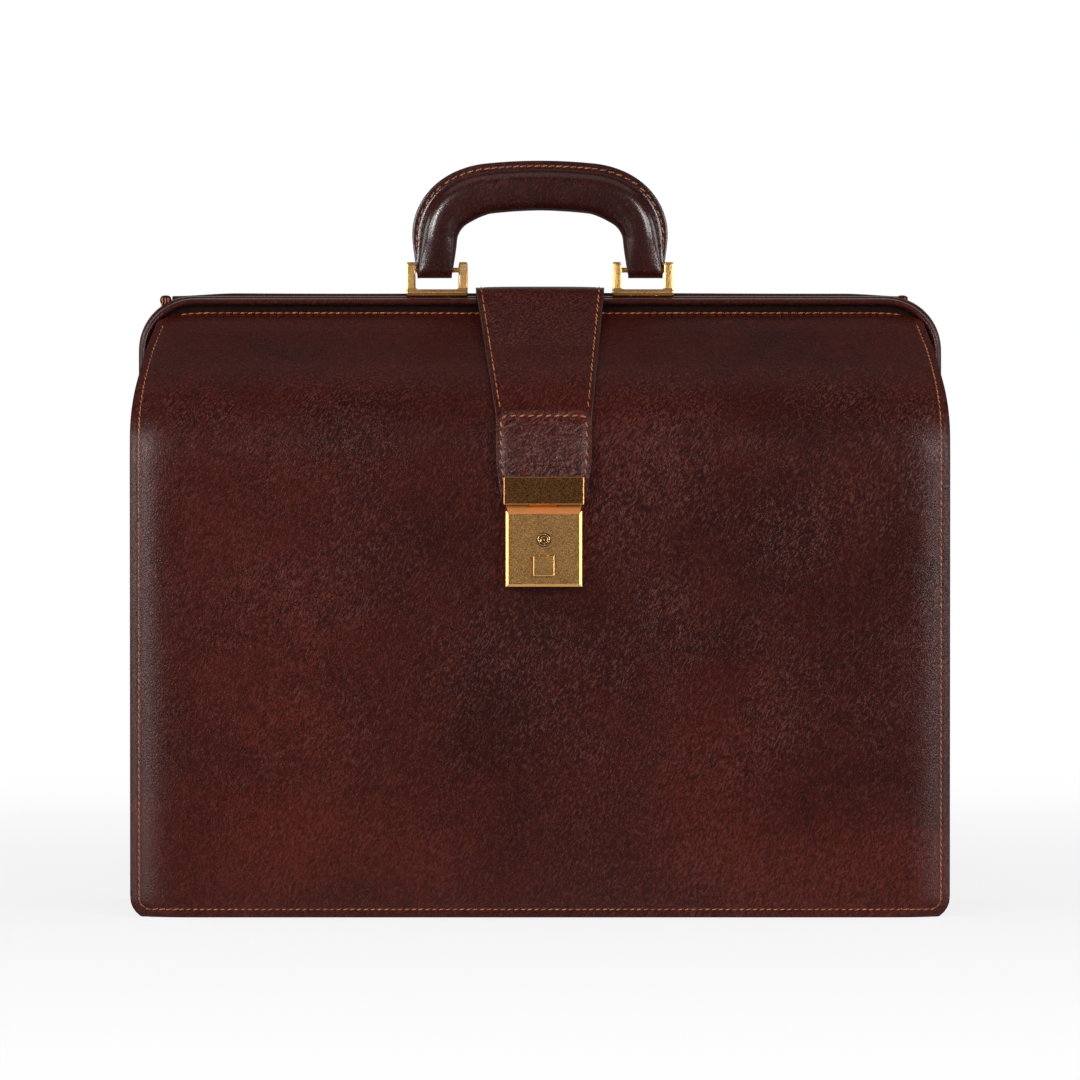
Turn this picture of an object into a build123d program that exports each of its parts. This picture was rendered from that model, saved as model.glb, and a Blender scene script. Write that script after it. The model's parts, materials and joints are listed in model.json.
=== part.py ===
from build123d import *
from math import cos, radians, sin, sqrt, tan
import os

# A leather doctor's bag: two bent panels and a gusset strip, a mouth held by two hinged
# frames, a strap with a hasp, a push-button lock and a padded handle.
# Millimetres. X runs left to right, the front faces -Y, Z is up from the floor, and the
# origin is under the middle of the bag.

os.makedirs("parts", exist_ok=True)

# Body
bag_w = 420.0  # width of the two panels
bag_d = 170.0  # depth over the outsides of the panels
leather_t = 2.4  # panel leather
gusset_t = 2.2  # gusset leather
welt = 7.0  # how far the gusset is set in from the panels' raw edges
corner_r = 10.0  # bottom corners of the panels
board_t = 2.5  # base board
lining_t = 1.0
soft_gap = 0.3  # room between soft pieces that move on different bodies
seat_gap = 0.1  # room between pieces that lie against each other

# Side profile of a panel: upright, one bend, then a straight slope to the frame
hinge_z = 233.0  # height of the frame hinge, level with the start of the bend
bend_r = 60.0
bend_deg = 60.0
lap = 4.0  # how far the shoulder reaches down inside the panel

# Front outline of the shoulders: how far in from the side, and how far below their upper
# edge. It starts on the side, this far above the hinge.
shoulder_start = 17.0
shoulder_mid = (1.4, 37.0)
shoulder_knee = (6.0, 15.0)
shoulder_top = (11.3, 1.3)
shoulder_corner = (16.0, -3.5)

# Frames
roll_r = 6.0  # outside radius of the leather roll
roll_gap = 2.0  # between the two rolls
bar_t = 3.0
bar_w = 6.0
frame_corner_r = 22.0
frame_rise = {"front": 8.6, "back": 9.8}  # how far the frames stand above the shoulders
frame_inset = {"front": 2.4, "back": 0.6}  # how far in from the panels' sides
leg_rise = 13.0  # the legs turn into flat hinge lugs this far above the hinge
lug_t = 2.0
lug_r = 5.5
lug_gap = 0.2  # between the two lugs
rivet_r = 1.8
rivet_head_r = 3.6
rivet_head_t = 1.0
running_gap = 0.05  # radial play of a pin in its bore

# Gusset folds
fold_t = 1.6
fold_room = 0.8  # between the rolls and the front folds
fold_gap = 0.4
fold_top = 55.0  # above the hinge

# Lip, strap and pad
lip_t = 2.2
lip_inset = 22.0  # how far in from the panels' sides
lip_rise = 1.4  # how far it stands above the back frame
lip_h = 8.0
strap_t = 3.2
strap_top_w = 67.0
strap_end_w = 50.0
strap_taper = 27.0  # the taper ends this far above the frame hinge
strap_drop = 17.0  # how far the strap reaches below the frame hinge
strap_hinge_y = 8.0
strap_landing = 41.0  # in from the panel's face, where the strap meets the front slope
strap_over_r = 12.0
anchor_landing = 49.0  # the same for the anchor on the back slope
anchor_stop = 33.0  # in from the panel's face, where the anchor stops on the back slope
pad_t = 3.0
pad_w = 49.0
pad_foot_w = 42.6
pad_rise = 27.5  # its top edge above the frame hinge
pad_taper_drop = 1.0  # its taper starts this far below the frame hinge
pad_corner_r = 6.0
lock_x = 2.0  # the lock sits a little to the right of the middle

# Hasp
hasp_w = 41.3
hasp_h = 14.4
hasp_t = 2.0
hasp_drop = 20.9  # its lower edge below the frame hinge
hasp_rivet_rise = 8.9
hasp_rivet_seat = 1.2  # how deep the rivets' blind holes go into the plate
tongue_w = 14.0
tongue_t = 1.5
tongue_l = 7.4
tongue_deg = 48.6  # the tongue leaves the lock in this direction above the level
tongue_root = (6.9, 1.5)  # out of the panel's face, and above the plate's lower edge
tongue_play = 0.45

# Lock
case_w = 39.0
case_d = 8.0
case_h = 42.0  # it ends at the hasp plate's lower edge
case_bevel = 4.4
case_chamfer = 1.3
case_wall = 1.2
plate_t = 0.8
backplate_w = 34.0
backplate_h = 34.0
button_w = 11.0
button_h = 10.8
button_rise = 10.7  # heights in the lock are taken from the case's lower edge
button_proud = 1.7
button_lip = 0.8
button_fit = 0.12
stem_w = 5.0
stem_h = 2.0
stem_rise = 7.9
key_rise = 24.1
key_ring_r = 3.2
key_ring_t = 0.4
key_hole_r = 2.3
key_slot_w = 1.4
key_slot_l = 3.9
post_r = 0.7
cam_r = 3.0
cam_t = 1.0
cam_tab = 5.4
cam_out = 5.0  # distance of the cam's inner face from the panel
lever_t = 1.0
lever_out = 2.4  # distance of the lever's inner face from the panel
lever_arm_x = 7.2
lever_arm_w = 2.4
lever_rise = 6.4
lever_head_drop = 5.6  # its hook below the case's upper edge
lever_bar = 2.6
latch_pin_rise = 19.9
latch_pin_r = 0.8
latch_barrel_r = 1.4
ear_x = 10.6
ear_t = 1.0
ear_r = 2.0
spring_r = 1.6
spring_wire = 0.4
spring_turns = 4
spring_rise = 13.5
lock_rivet_r = 1.2
lock_rivet_head_r = 2.4
lock_rivet_head_t = 0.7
lock_rivet_x = 14.0
lock_rivet_rise = 6.9
lock_rivet_drop = 9.1  # the upper pair below the case's upper edge

# Handle and brackets
bracket_x = 53.7
bracket_w = 32.0
bracket_base_h = 3.4
bracket_base_d = 9.0
bracket_rise = 17.7  # heights here are taken from the back frame's top
bracket_post_w = 4.8
bracket_post_d = 7.0
bracket_edge = 0.6
pin_rise = 13.5
pin_r = 1.3
grip_x = 54.1  # centre line of each leg
grip_turn_rise = 27.2  # the legs start to turn in here
grip_straight = 1.5
grip_turn_r = 22.0
grip_turn_deg = 60.0
grip_section = 24.0  # height of the grip's section, stitched edge included
grip_depth = 20.0
core_section = 12.0
core_depth = 9.0
core_gap = 0.2  # between the core and its cover
loop_x = 54.6
loop_w = 17.6
loop_r = 4.6
loop_rise = 18.7
screw_r = 1.25
screw_head_r = 2.2
screw_head_h = 1.2
screw_x = 6.5

# Values that follow from these
half_w = bag_w / 2
half_d = bag_d / 2
inner_y = half_d - leather_t
roll_y = roll_r + roll_gap / 2
slope_deg = 90 - bend_deg
bend_vertex_z = hinge_z + bend_r * tan(radians(bend_deg / 2))
swing_r = inner_y - soft_gap  # largest radius about the hinge that clears the panel
gusset_x = half_w - welt
board_z = welt + gusset_t
lining_z = board_z + board_t
liner_y = inner_y - seat_gap
liner_x = gusset_x - gusset_t - seat_gap
wall_t = max(gusset_t, seat_gap + lining_t)  # thickest of what lies against the panels
swing_drop = sqrt((swing_r + soft_gap) ** 2 - (inner_y - wall_t) ** 2)
clear_z = hinge_z - swing_drop  # below this the walls are out of the swinging parts' way
leg_x = {side: half_w - frame_inset[side] - roll_r for side in frame_inset}
leg_low = hinge_z + leg_rise
hinge_x = (leg_x["front"] + leg_x["back"]) / 2
fold_x = min(leg_x.values()) - roll_r - fold_room
lever_axis = lever_out + lever_t / 2
hasp_out = soft_gap + strap_t + seat_gap + pad_t

# Heights of the strap and the lock
strap_taper_z = hinge_z + strap_taper
strap_low = hinge_z - strap_drop
pad_top = hinge_z + pad_rise
pad_taper_z = hinge_z - pad_taper_drop
hasp_low = hinge_z - hasp_drop
case_top = hasp_low
case_low = case_top - case_h
button_z = case_low + button_rise
stem_z = case_low + stem_rise
key_z = case_low + key_rise
lever_low = case_low + lever_rise
lever_high = case_top - lever_head_drop
latch_pin_z = case_low + latch_pin_rise
spring_z = case_low + spring_rise
lock_rivet_z = [case_low + lock_rivet_rise, case_top - lock_rivet_drop]
tongue_at = (half_d + tongue_root[0], hasp_low + tongue_root[1])

# Drawing planes: u points outwards from the middle of the bag and v is up
outward = {"front": 1, "back": -1}
u_axis = {"front": (0, -1, 0), "back": (0, 1, 0)}
u_normal = {"front": (-1, 0, 0), "back": (1, 0, 0)}


def section(side, x=0.0):
    """Upright drawing plane across the bag at this x."""
    return Plane(origin=(x, 0, 0), x_dir=u_axis[side], z_dir=u_normal[side])


def lock_face(out):
    """Drawing plane parallel to the front, this far out of the leather, centred on the lock."""
    return Plane(origin=(lock_x, -half_d - out, 0), x_dir=(1, 0, 0), z_dir=(0, -1, 0))


def bend_corner(out):
    """Where the upright and the slope would meet, for the profile moved out by this much."""
    return (half_d + out, bend_vertex_z + out * tan(radians(bend_deg / 2)))


def on_slope(u, out):
    """Height of the slope, moved out by this much, at distance u from the middle."""
    corner_u, corner_v = bend_corner(out)
    return corner_v + (corner_u - u) * tan(radians(slope_deg))


# Heights of the frames and the handle
shoulder_end = roll_y + roll_r + soft_gap
shoulder_z = on_slope(shoulder_end, 0)
frame_top = {side: shoulder_z + frame_rise[side] for side in frame_rise}
roll_z = {side: frame_top[side] - roll_r for side in frame_top}
strap_under = frame_top["back"] + lip_rise + soft_gap
bracket_top = frame_top["back"] + bracket_rise
pin_z = frame_top["back"] + pin_rise
grip_turn_z = frame_top["back"] + grip_turn_rise
loop_top = frame_top["back"] + loop_rise


def fill_profile(out, low, mode=Mode.ADD):
    """Add the area inside the panel's profile, moved out by this much, to the open sketch."""
    with BuildSketch(mode=Mode.PRIVATE) as area:
        with BuildLine():
            Polyline(
                (0, low), (half_d + out, low), bend_corner(out), (0, on_slope(0, out)), close=True
            )
        make_face()
        fillet(area.vertices().sort_by_distance((*bend_corner(out), 0))[0], radius=bend_r + out)
    add(area.sketch, mode=mode)


def shoulder_point(place):
    return (half_w - place[0], shoulder_z - place[1])


def finish(name, made):
    """Label a finished piece and write it."""
    made.part.label = name
    export_step(made.part, f"parts/{name}.step")


# The lock's rivets, and the holes for them through every layer
lock_rivets = [(sx * lock_rivet_x, z) for sx in (-1, 1) for z in lock_rivet_z]
with BuildSketch(lock_face(case_d)) as rivet_holes:
    with Locations(*lock_rivets):
        Circle(lock_rivet_r + running_gap)
rivet_reach = 2 * case_d + half_d / 2


# Panels, the upright parts of the front and back leather
for side in ("front", "back"):
    with BuildPart() as panel:
        with BuildSketch(Plane.XZ.offset(outward[side] * inner_y)):
            with Locations((0, hinge_z / 2)):
                Rectangle(bag_w, hinge_z)
            fillet(vertices().group_by(Axis.Y)[0], radius=corner_r)
        extrude(amount=outward[side] * leather_t)
        if side == "front":
            extrude(rivet_holes.sketch, amount=-rivet_reach, mode=Mode.SUBTRACT)
    finish(f"{side}_panel", panel)

# Gussets: a web between the panels, and welts turned out along the panels' edges
for name, sx in (("left", -1), ("right", 1)):
    with BuildPart() as gusset:
        with BuildSketch(Plane.YZ.offset(sx * (gusset_x - gusset_t / 2))):
            with Locations((0, (board_z + hinge_z) / 2)):
                Rectangle(2 * inner_y, hinge_z - board_z)
            with Locations((0, hinge_z)):
                Circle(swing_r + soft_gap, mode=Mode.SUBTRACT)
            with Locations((0, (clear_z + hinge_z) / 2)):
                Rectangle(2 * inner_y, hinge_z - clear_z, mode=Mode.SUBTRACT)
        extrude(amount=gusset_t / 2, both=True)
        for welt_y in (-inner_y + gusset_t / 2, inner_y - gusset_t / 2):
            with BuildSketch(Plane.XZ.offset(-welt_y)):
                with Locations((sx * (half_w - (welt + gusset_t) / 2), (board_z + clear_z) / 2)):
                    Rectangle(welt + gusset_t, clear_z - board_z)
            extrude(amount=gusset_t / 2, both=True)
    finish(f"{name}_gusset", gusset)

# Bottom gusset, with its welts turned down to the floor
with BuildPart() as bottom_gusset:
    with BuildSketch(Plane.XY.offset(welt)):
        Rectangle(2 * gusset_x, 2 * inner_y)
    extrude(amount=gusset_t)
    for welt_y in (-inner_y + gusset_t / 2, inner_y - gusset_t / 2):
        with BuildSketch(Plane.XZ.offset(-welt_y)):
            with Locations((0, bag_w / 2)):
                Rectangle(bag_w, bag_w)
            fillet(vertices().group_by(Axis.Y)[0], radius=corner_r)
            with Locations((0, board_z / 2)):
                Rectangle(bag_w, board_z, mode=Mode.INTERSECT)
        extrude(amount=gusset_t / 2, both=True)
finish("bottom_gusset", bottom_gusset)

# Base board and the lining box that stands on it
with BuildPart() as base_board:
    with BuildSketch(Plane.XY.offset(board_z)):
        RectangleRounded(2 * liner_x, 2 * liner_y, corner_r / 2)
    extrude(amount=board_t)
finish("base_board", base_board)

with BuildPart() as lining:
    with BuildSketch(Plane.XY.offset(lining_z)):
        Rectangle(2 * liner_x, 2 * liner_y)
    extrude(amount=clear_z - lining_z)
    with BuildSketch(Plane.XY.offset(lining_z + lining_t)):
        Rectangle(2 * (liner_x - lining_t), 2 * (liner_y - lining_t))
    extrude(amount=clear_z, mode=Mode.SUBTRACT)
    with BuildSketch(Plane.YZ):
        with Locations((0, hinge_z)):
            Circle(swing_r + soft_gap)
    extrude(amount=half_w, both=True, mode=Mode.SUBTRACT)
    extrude(rivet_holes.sketch, amount=-rivet_reach, mode=Mode.SUBTRACT)
finish("lining", lining)

# Frame bars: a bent steel strip each, with a flat lug at both ends for the hinge
lug_x = {"front": hinge_x - (lug_gap + lug_t) / 2, "back": hinge_x + (lug_gap + lug_t) / 2}
for side in ("front", "back"):
    with BuildPart() as bar:
        with BuildLine(Plane.XZ.offset(outward[side] * roll_y)) as path:
            FilletPolyline(
                (-leg_x[side], leg_low),
                (-leg_x[side], roll_z[side]),
                (leg_x[side], roll_z[side]),
                (leg_x[side], leg_low),
                radius=frame_corner_r,
            )
        with BuildSketch(Plane(origin=path.line @ 0, x_dir=(1, 0, 0), z_dir=path.line % 0)):
            Rectangle(bar_t, bar_w)
        sweep(path=path.line)
        for sx in (-1, 1):
            with BuildSketch(section(side, sx * lug_x[side])):
                with BuildLine():
                    Polyline(
                        (roll_y - bar_w / 2, leg_low),
                        (roll_y + bar_w / 2, leg_low),
                        (lug_r, hinge_z),
                        (-lug_r * cos(radians(slope_deg)), hinge_z + lug_r * sin(radians(slope_deg))),
                        close=True,
                    )
                make_face()
                with Locations((0, hinge_z)):
                    Circle(lug_r)
                    Circle(rivet_r + running_gap, mode=Mode.SUBTRACT)
            extrude(amount=lug_t / 2, both=True)
        if side == "back":
            with BuildSketch(Plane.XY.offset(roll_z[side])):
                with Locations((bracket_x, roll_y), (-bracket_x, roll_y)):
                    with GridLocations(2 * screw_x, 1, 2, 1):
                        Circle(screw_r + running_gap)
            extrude(amount=bar_t, both=True, mode=Mode.SUBTRACT)
    finish(f"{side}_frame_bar", bar)

    with BuildPart() as roll:
        with BuildLine(Plane.XZ.offset(outward[side] * roll_y)) as path:
            FilletPolyline(
                (-leg_x[side], leg_low),
                (-leg_x[side], roll_z[side]),
                (leg_x[side], roll_z[side]),
                (leg_x[side], leg_low),
                radius=frame_corner_r,
            )
        start = Plane(origin=path.line @ 0, x_dir=(1, 0, 0), z_dir=path.line % 0)
        with BuildSketch(start):
            Circle(roll_r)
        sweep(path=path.line)
        with BuildSketch(start):
            Rectangle(bar_t + 2 * running_gap, bar_w + 2 * running_gap)
        sweep(path=path.line, mode=Mode.SUBTRACT)
        if side == "back":
            with BuildSketch(Plane.XY.offset(roll_z[side])):
                with Locations((bracket_x, roll_y), (-bracket_x, roll_y)):
                    with GridLocations(2 * screw_x, 1, 2, 1):
                        Circle(screw_r + running_gap)
            extrude(amount=roll_r, mode=Mode.SUBTRACT)
    finish(f"{side}_frame_roll", roll)

# Hinge rivets, each through both lugs
for name, sx in (("left", -1), ("right", 1)):
    with BuildPart() as rivet:
        head_in = hinge_x - lug_gap / 2 - lug_t
        head_out = hinge_x + lug_gap / 2 + lug_t + seat_gap
        with BuildSketch(Plane.YZ.offset(sx * (head_in - rivet_head_t))):
            with Locations((0, hinge_z)):
                Circle(rivet_r)
        extrude(amount=sx * (head_out - head_in + 2 * rivet_head_t))
        for head_x in (head_in - rivet_head_t / 2, head_out + rivet_head_t / 2):
            with BuildSketch(Plane.YZ.offset(sx * head_x)):
                with Locations((0, hinge_z)):
                    Circle(rivet_head_r)
            extrude(amount=rivet_head_t / 2, both=True)
        fillet(edges().filter_by(GeomType.CIRCLE).sort_by(Axis.X)[0], radius=rivet_head_t / 3)
        fillet(edges().filter_by(GeomType.CIRCLE).sort_by(Axis.X)[-1], radius=rivet_head_t / 3)
    finish(f"{name}_hinge_rivet", rivet)

# Shoulders: the bent upper leather, which lies close inside the panel at its lower end
meet_cos = (swing_r**2 - (half_d - bend_r) ** 2 - bend_r**2) / (2 * (half_d - bend_r) * bend_r)
meet_v = hinge_z + bend_r * sqrt(1 - meet_cos**2)
for side in ("front", "back"):
    with BuildPart() as shoulder:
        with BuildSketch(section(side)):
            fill_profile(0, hinge_z - lap)
            fill_profile(-leather_t, hinge_z - lap, mode=Mode.SUBTRACT)
            with Locations((shoulder_end / 2, hinge_z + half_d)):
                Rectangle(shoulder_end, 2 * half_d, mode=Mode.SUBTRACT)
            with Locations((0, hinge_z)):
                Circle(swing_r, mode=Mode.INTERSECT)
            with BuildSketch(mode=Mode.PRIVATE) as lap_ring:
                with Locations((0, hinge_z)):
                    Circle(swing_r)
                    Circle(swing_r - leather_t, mode=Mode.SUBTRACT)
                with Locations((half_d / 2, (hinge_z - lap + meet_v) / 2)):
                    Rectangle(half_d, meet_v - hinge_z + lap, mode=Mode.INTERSECT)
            add(lap_ring.sketch)
        extrude(amount=half_w, both=True)
        with BuildSketch(Plane.XZ):
            with BuildLine():
                Polyline((0, 0), (half_w, 0), (half_w, hinge_z + shoulder_start))
                ThreePointArc(
                    (half_w, hinge_z + shoulder_start),
                    shoulder_point(shoulder_mid),
                    shoulder_point(shoulder_knee),
                )
                Polyline(
                    shoulder_point(shoulder_knee),
                    shoulder_point(shoulder_top),
                    shoulder_point(shoulder_corner),
                    (0, shoulder_point(shoulder_corner)[1]),
                )
                mirror(about=Plane.YZ)
            make_face()
        extrude(amount=bag_d, both=True, mode=Mode.INTERSECT)
    finish(f"{side}_shoulder", shoulder)

# Gusset folds: one half disc on each frame, which slide past each other like a fan
for side in ("front", "back"):
    fold_r = swing_r - leather_t - soft_gap
    outer_x = fold_x if side == "front" else fold_x - fold_t - fold_gap
    for name, sx in (("left", -1), ("right", 1)):
        with BuildPart() as fold:
            with BuildSketch(section(side, sx * (outer_x - fold_t / 2))):
                fill_profile(-leather_t - soft_gap, hinge_z - 2 * fold_r)
                with Locations((0, hinge_z)):
                    Circle(fold_r, mode=Mode.INTERSECT)
                with Locations((seat_gap + fold_r, hinge_z + fold_top - 2 * fold_r)):
                    Rectangle(2 * fold_r, 4 * fold_r, mode=Mode.INTERSECT)
            extrude(amount=fold_t / 2, both=True)
        finish(f"{name}_{side}_fold", fold)

# Lip along the top of the back frame
with BuildPart() as rear_lip:
    with BuildSketch(Plane.XZ.offset(-(roll_y + roll_r + seat_gap))):
        with Locations((0, frame_top["back"] + lip_rise - lip_h / 2)):
            Rectangle(2 * (half_w - lip_inset), lip_h)
        fillet(vertices().group_by(Axis.Y)[-1], radius=lip_h / 3)
    extrude(amount=-lip_t)
finish("rear_lip", rear_lip)

# Strap outline, seen from the front
with BuildSketch(Plane.XZ) as strap_outline:
    with BuildLine():
        Polyline(
            (-strap_top_w / 2, strap_under + 2 * strap_t),
            (strap_top_w / 2, strap_under + 2 * strap_t),
            (strap_top_w / 2, strap_under),
            (lock_x + strap_end_w / 2, strap_taper_z),
            (lock_x + pad_foot_w / 2, strap_low),
            (lock_x - pad_foot_w / 2, strap_low),
            (lock_x - strap_end_w / 2, strap_taper_z),
            (-strap_top_w / 2, strap_under),
            close=True,
        )
    make_face()

hasp_rivets = [(sx * hasp_w / 4, hasp_low + hasp_rivet_rise) for sx in (-1, 1)]
with BuildSketch(lock_face(hasp_out)) as hasp_holes:
    with Locations(*hasp_rivets):
        Circle(lock_rivet_r + running_gap)

landing_u = half_d - strap_landing
with BuildPart() as strap:
    with BuildSketch(section("front")):
        with BuildLine():
            FilletPolyline(
                (soft_gap / 2 - strap_hinge_y, strap_under),
                (roll_y + roll_r / 2 + soft_gap, strap_under),
                (landing_u, on_slope(landing_u, soft_gap)),
                bend_corner(soft_gap),
                (half_d + soft_gap, strap_low),
                radius=[strap_over_r, bend_r / 2, bend_r + soft_gap],
            )
            offset(amount=strap_t, side=Side.LEFT)
        make_face()
    extrude(amount=strap_top_w / 2, both=True)
    extrude(strap_outline.sketch, amount=bag_d, mode=Mode.INTERSECT)
    extrude(hasp_holes.sketch, amount=-2 * hasp_out, mode=Mode.SUBTRACT)
finish("strap", strap)

landing_back_u = half_d - anchor_landing
anchor_u = half_d - anchor_stop
with BuildPart() as strap_anchor:
    with BuildSketch(section("back")):
        with BuildLine():
            FilletPolyline(
                (strap_hinge_y + soft_gap / 2, strap_under),
                (roll_y + roll_r + lip_t + seat_gap, strap_under),
                (landing_back_u, on_slope(landing_back_u, seat_gap)),
                (anchor_u, on_slope(anchor_u, seat_gap)),
                radius=[seat_gap, strap_over_r],
            )
            offset(amount=strap_t, side=Side.LEFT)
        make_face()
    extrude(amount=strap_top_w / 2, both=True)
finish("strap_anchor", strap_anchor)

with BuildPart() as strap_pad:
    with BuildSketch(section("front", lock_x)):
        fill_profile(hasp_out, strap_low - pad_t)
        fill_profile(hasp_out - pad_t, strap_low - pad_t, mode=Mode.SUBTRACT)
        with Locations((half_d, pad_top - half_d)):
            Rectangle(half_d, 2 * (half_d + pad_t), mode=Mode.INTERSECT)
    extrude(amount=pad_w, both=True)
    with BuildSketch(lock_face(0)):
        with BuildLine():
            Polyline(
                (pad_w / 2, pad_top),
                (pad_w / 2, pad_taper_z),
                (pad_foot_w / 2, strap_low),
                (-pad_foot_w / 2, strap_low),
                (-pad_w / 2, pad_taper_z),
                (-pad_w / 2, pad_top),
                close=True,
            )
        make_face()
        fillet(vertices().group_by(Axis.Y)[-1], radius=pad_corner_r)
    extrude(amount=half_d / 2, both=True, mode=Mode.INTERSECT)
    extrude(hasp_holes.sketch, amount=-2 * hasp_out, mode=Mode.SUBTRACT)
finish("strap_pad", strap_pad)

# Hasp plate, with the tongue that enters the lock, and its rivets
with BuildPart() as hasp_plate:
    with BuildSketch(lock_face(hasp_out)):
        with Locations((0, hasp_low + hasp_h / 2)):
            Rectangle(hasp_w, hasp_h)
    extrude(amount=hasp_t)
    chamfer(faces().sort_by(Axis.Y)[0].edges(), length=hasp_t / 4)
    extrude(hasp_holes.sketch, amount=hasp_rivet_seat, mode=Mode.SUBTRACT)
    with BuildSketch(section("front", lock_x)):
        with Locations(Location((*tongue_at, 0), (0, 0, tongue_deg))):
            with Locations((-tongue_l / 2, 0)):
                Rectangle(tongue_l, tongue_t)
    extrude(amount=tongue_w / 2, both=True)
finish("hasp_plate", hasp_plate)

with BuildPart() as hasp_rivet_pair:
    with BuildSketch(lock_face(soft_gap)):
        with Locations(*hasp_rivets):
            Circle(lock_rivet_r)
    extrude(amount=hasp_out - soft_gap + hasp_rivet_seat - running_gap)
finish("hasp_rivets", hasp_rivet_pair)

# Lock case: a brass shell with a bevelled top, open at the back
with BuildPart() as lock_case:
    with BuildSketch(section("front", lock_x)):
        with BuildLine():
            Polyline(
                (half_d, case_low),
                (half_d + case_d, case_low),
                (half_d + case_d, case_top - case_bevel),
                (half_d + case_d - case_bevel, case_top),
                (half_d, case_top),
                close=True,
            )
        make_face()
    extrude(amount=case_w / 2, both=True)
    chamfer(faces().sort_by(Axis.Y)[0].edges().sort_by(Axis.Z)[:-1], length=case_chamfer)
    with BuildSketch(section("front", lock_x)):
        with BuildLine():
            Polyline(
                (half_d, case_low + case_wall),
                (half_d + case_d - case_wall, case_low + case_wall),
                (half_d + case_d - case_wall, case_top - case_bevel - case_wall / 2),
                (half_d + case_d - case_bevel - case_wall / 2, case_top - case_wall),
                (half_d, case_top - case_wall),
                close=True,
            )
        make_face()
    extrude(amount=case_w / 2 - case_wall - case_chamfer / 2, both=True, mode=Mode.SUBTRACT)
    with BuildSketch(lock_face(case_d)):
        with Locations((0, key_z)):
            Circle(key_ring_r)
    extrude(amount=key_ring_t)
    with BuildSketch(lock_face(case_d + key_ring_t)):
        with Locations((0, key_z)):
            Circle(key_hole_r)
        with Locations((0, key_z - key_slot_l / 2)):
            Rectangle(key_slot_w, key_slot_l)
        with Locations((0, button_z)):
            Rectangle(button_w + 2 * button_fit, button_h + 2 * button_fit)
    extrude(amount=-case_wall - key_ring_t - running_gap, mode=Mode.SUBTRACT)
    with BuildSketch(section("front", lock_x)):
        with Locations(Location((*tongue_at, 0), (0, 0, tongue_deg))):
            with Locations((-tongue_l / 2, 0)):
                Rectangle(2 * tongue_l, tongue_t + 2 * tongue_play)
        with Locations((half_d + case_d, case_top - case_d / 2)):
            Rectangle(2 * case_d - 2 * plate_t, case_d, mode=Mode.INTERSECT)
    extrude(amount=tongue_w / 2 + tongue_play, both=True, mode=Mode.SUBTRACT)
finish("lock_case", lock_case)

# Lock base with the two ears for the latch pin
inner_w = case_w - 2 * case_wall - case_chamfer - 2 * seat_gap
inner_low = case_low + case_wall + seat_gap
inner_high = case_top - case_wall - seat_gap
with BuildPart() as lock_base:
    with BuildSketch(lock_face(0)):
        with Locations((0, (inner_low + inner_high) / 2)):
            Rectangle(inner_w, inner_high - inner_low)
    extrude(amount=plate_t)
    for sx in (-1, 1):
        with BuildSketch(section("front", lock_x + sx * ear_x)):
            with Locations((half_d + lever_axis, latch_pin_z)):
                Circle(ear_r)
            with Locations((half_d + lever_axis / 2, latch_pin_z)):
                Rectangle(lever_axis, 2 * ear_r)
            with Locations((half_d + lever_axis, latch_pin_z)):
                Circle(latch_pin_r + running_gap, mode=Mode.SUBTRACT)
        extrude(amount=ear_t / 2, both=True)
    extrude(rivet_holes.sketch, amount=-rivet_reach, mode=Mode.SUBTRACT)
finish("lock_base", lock_base)

with BuildPart() as latch_pin:
    with BuildSketch(section("front", lock_x)):
        with Locations((half_d + lever_axis, latch_pin_z)):
            Circle(latch_pin_r)
    extrude(amount=ear_x + ear_t, both=True)
finish("latch_pin", latch_pin)

with BuildPart() as key_post:
    with BuildSketch(lock_face(plate_t)):
        with Locations((0, key_z)):
            Circle(post_r)
    extrude(amount=case_d - plate_t + key_ring_t / 2)
    fillet(edges().sort_by(Axis.Y)[0], radius=post_r / 2)
finish("key_post", key_post)

# Backplate inside the lining, and the rivets that clamp it all together
back_out = -leather_t - 2 * seat_gap - lining_t
with BuildPart() as lock_backplate:
    with BuildSketch(lock_face(back_out)):
        with Locations((0, (lock_rivet_z[0] + lock_rivet_z[1]) / 2)):
            RectangleRounded(backplate_w, backplate_h, 2 * plate_t)
    extrude(amount=-plate_t)
    extrude(rivet_holes.sketch, amount=-rivet_reach, mode=Mode.SUBTRACT)
finish("lock_backplate", lock_backplate)

with BuildPart() as lock_rivet_set:
    with BuildSketch(lock_face(plate_t)):
        with Locations(*lock_rivets):
            Circle(lock_rivet_r)
    extrude(amount=back_out - 2 * plate_t)
    for head_from, head_amount in (
        (plate_t, lock_rivet_head_t),
        (back_out - plate_t, -lock_rivet_head_t),
    ):
        with BuildSketch(lock_face(head_from)):
            with Locations(*lock_rivets):
                Circle(lock_rivet_head_r)
        extrude(amount=head_amount)
finish("lock_rivets", lock_rivet_set)

# Push button: its lip holds it in the case, its stem rocks the lever
lip_out = case_d - case_wall - seat_gap - button_lip
with BuildPart() as push_button:
    with BuildSketch(lock_face(lip_out)):
        with Locations((0, button_z)):
            Rectangle(button_w + 2 * button_lip, button_h + 2 * button_lip)
    extrude(amount=button_lip)
    with BuildSketch(lock_face(lip_out)):
        with Locations((0, button_z)):
            Rectangle(button_w, button_h)
    extrude(amount=case_d + button_proud - lip_out)
    chamfer(faces().sort_by(Axis.Y)[0].edges(), length=button_proud / 3)
    stem_end = lever_out + lever_t + soft_gap
    with BuildSketch(lock_face(stem_end)):
        with Locations((0, stem_z)):
            Rectangle(stem_w, stem_h)
    extrude(amount=lip_out - stem_end)
finish("push_button", push_button)

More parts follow.
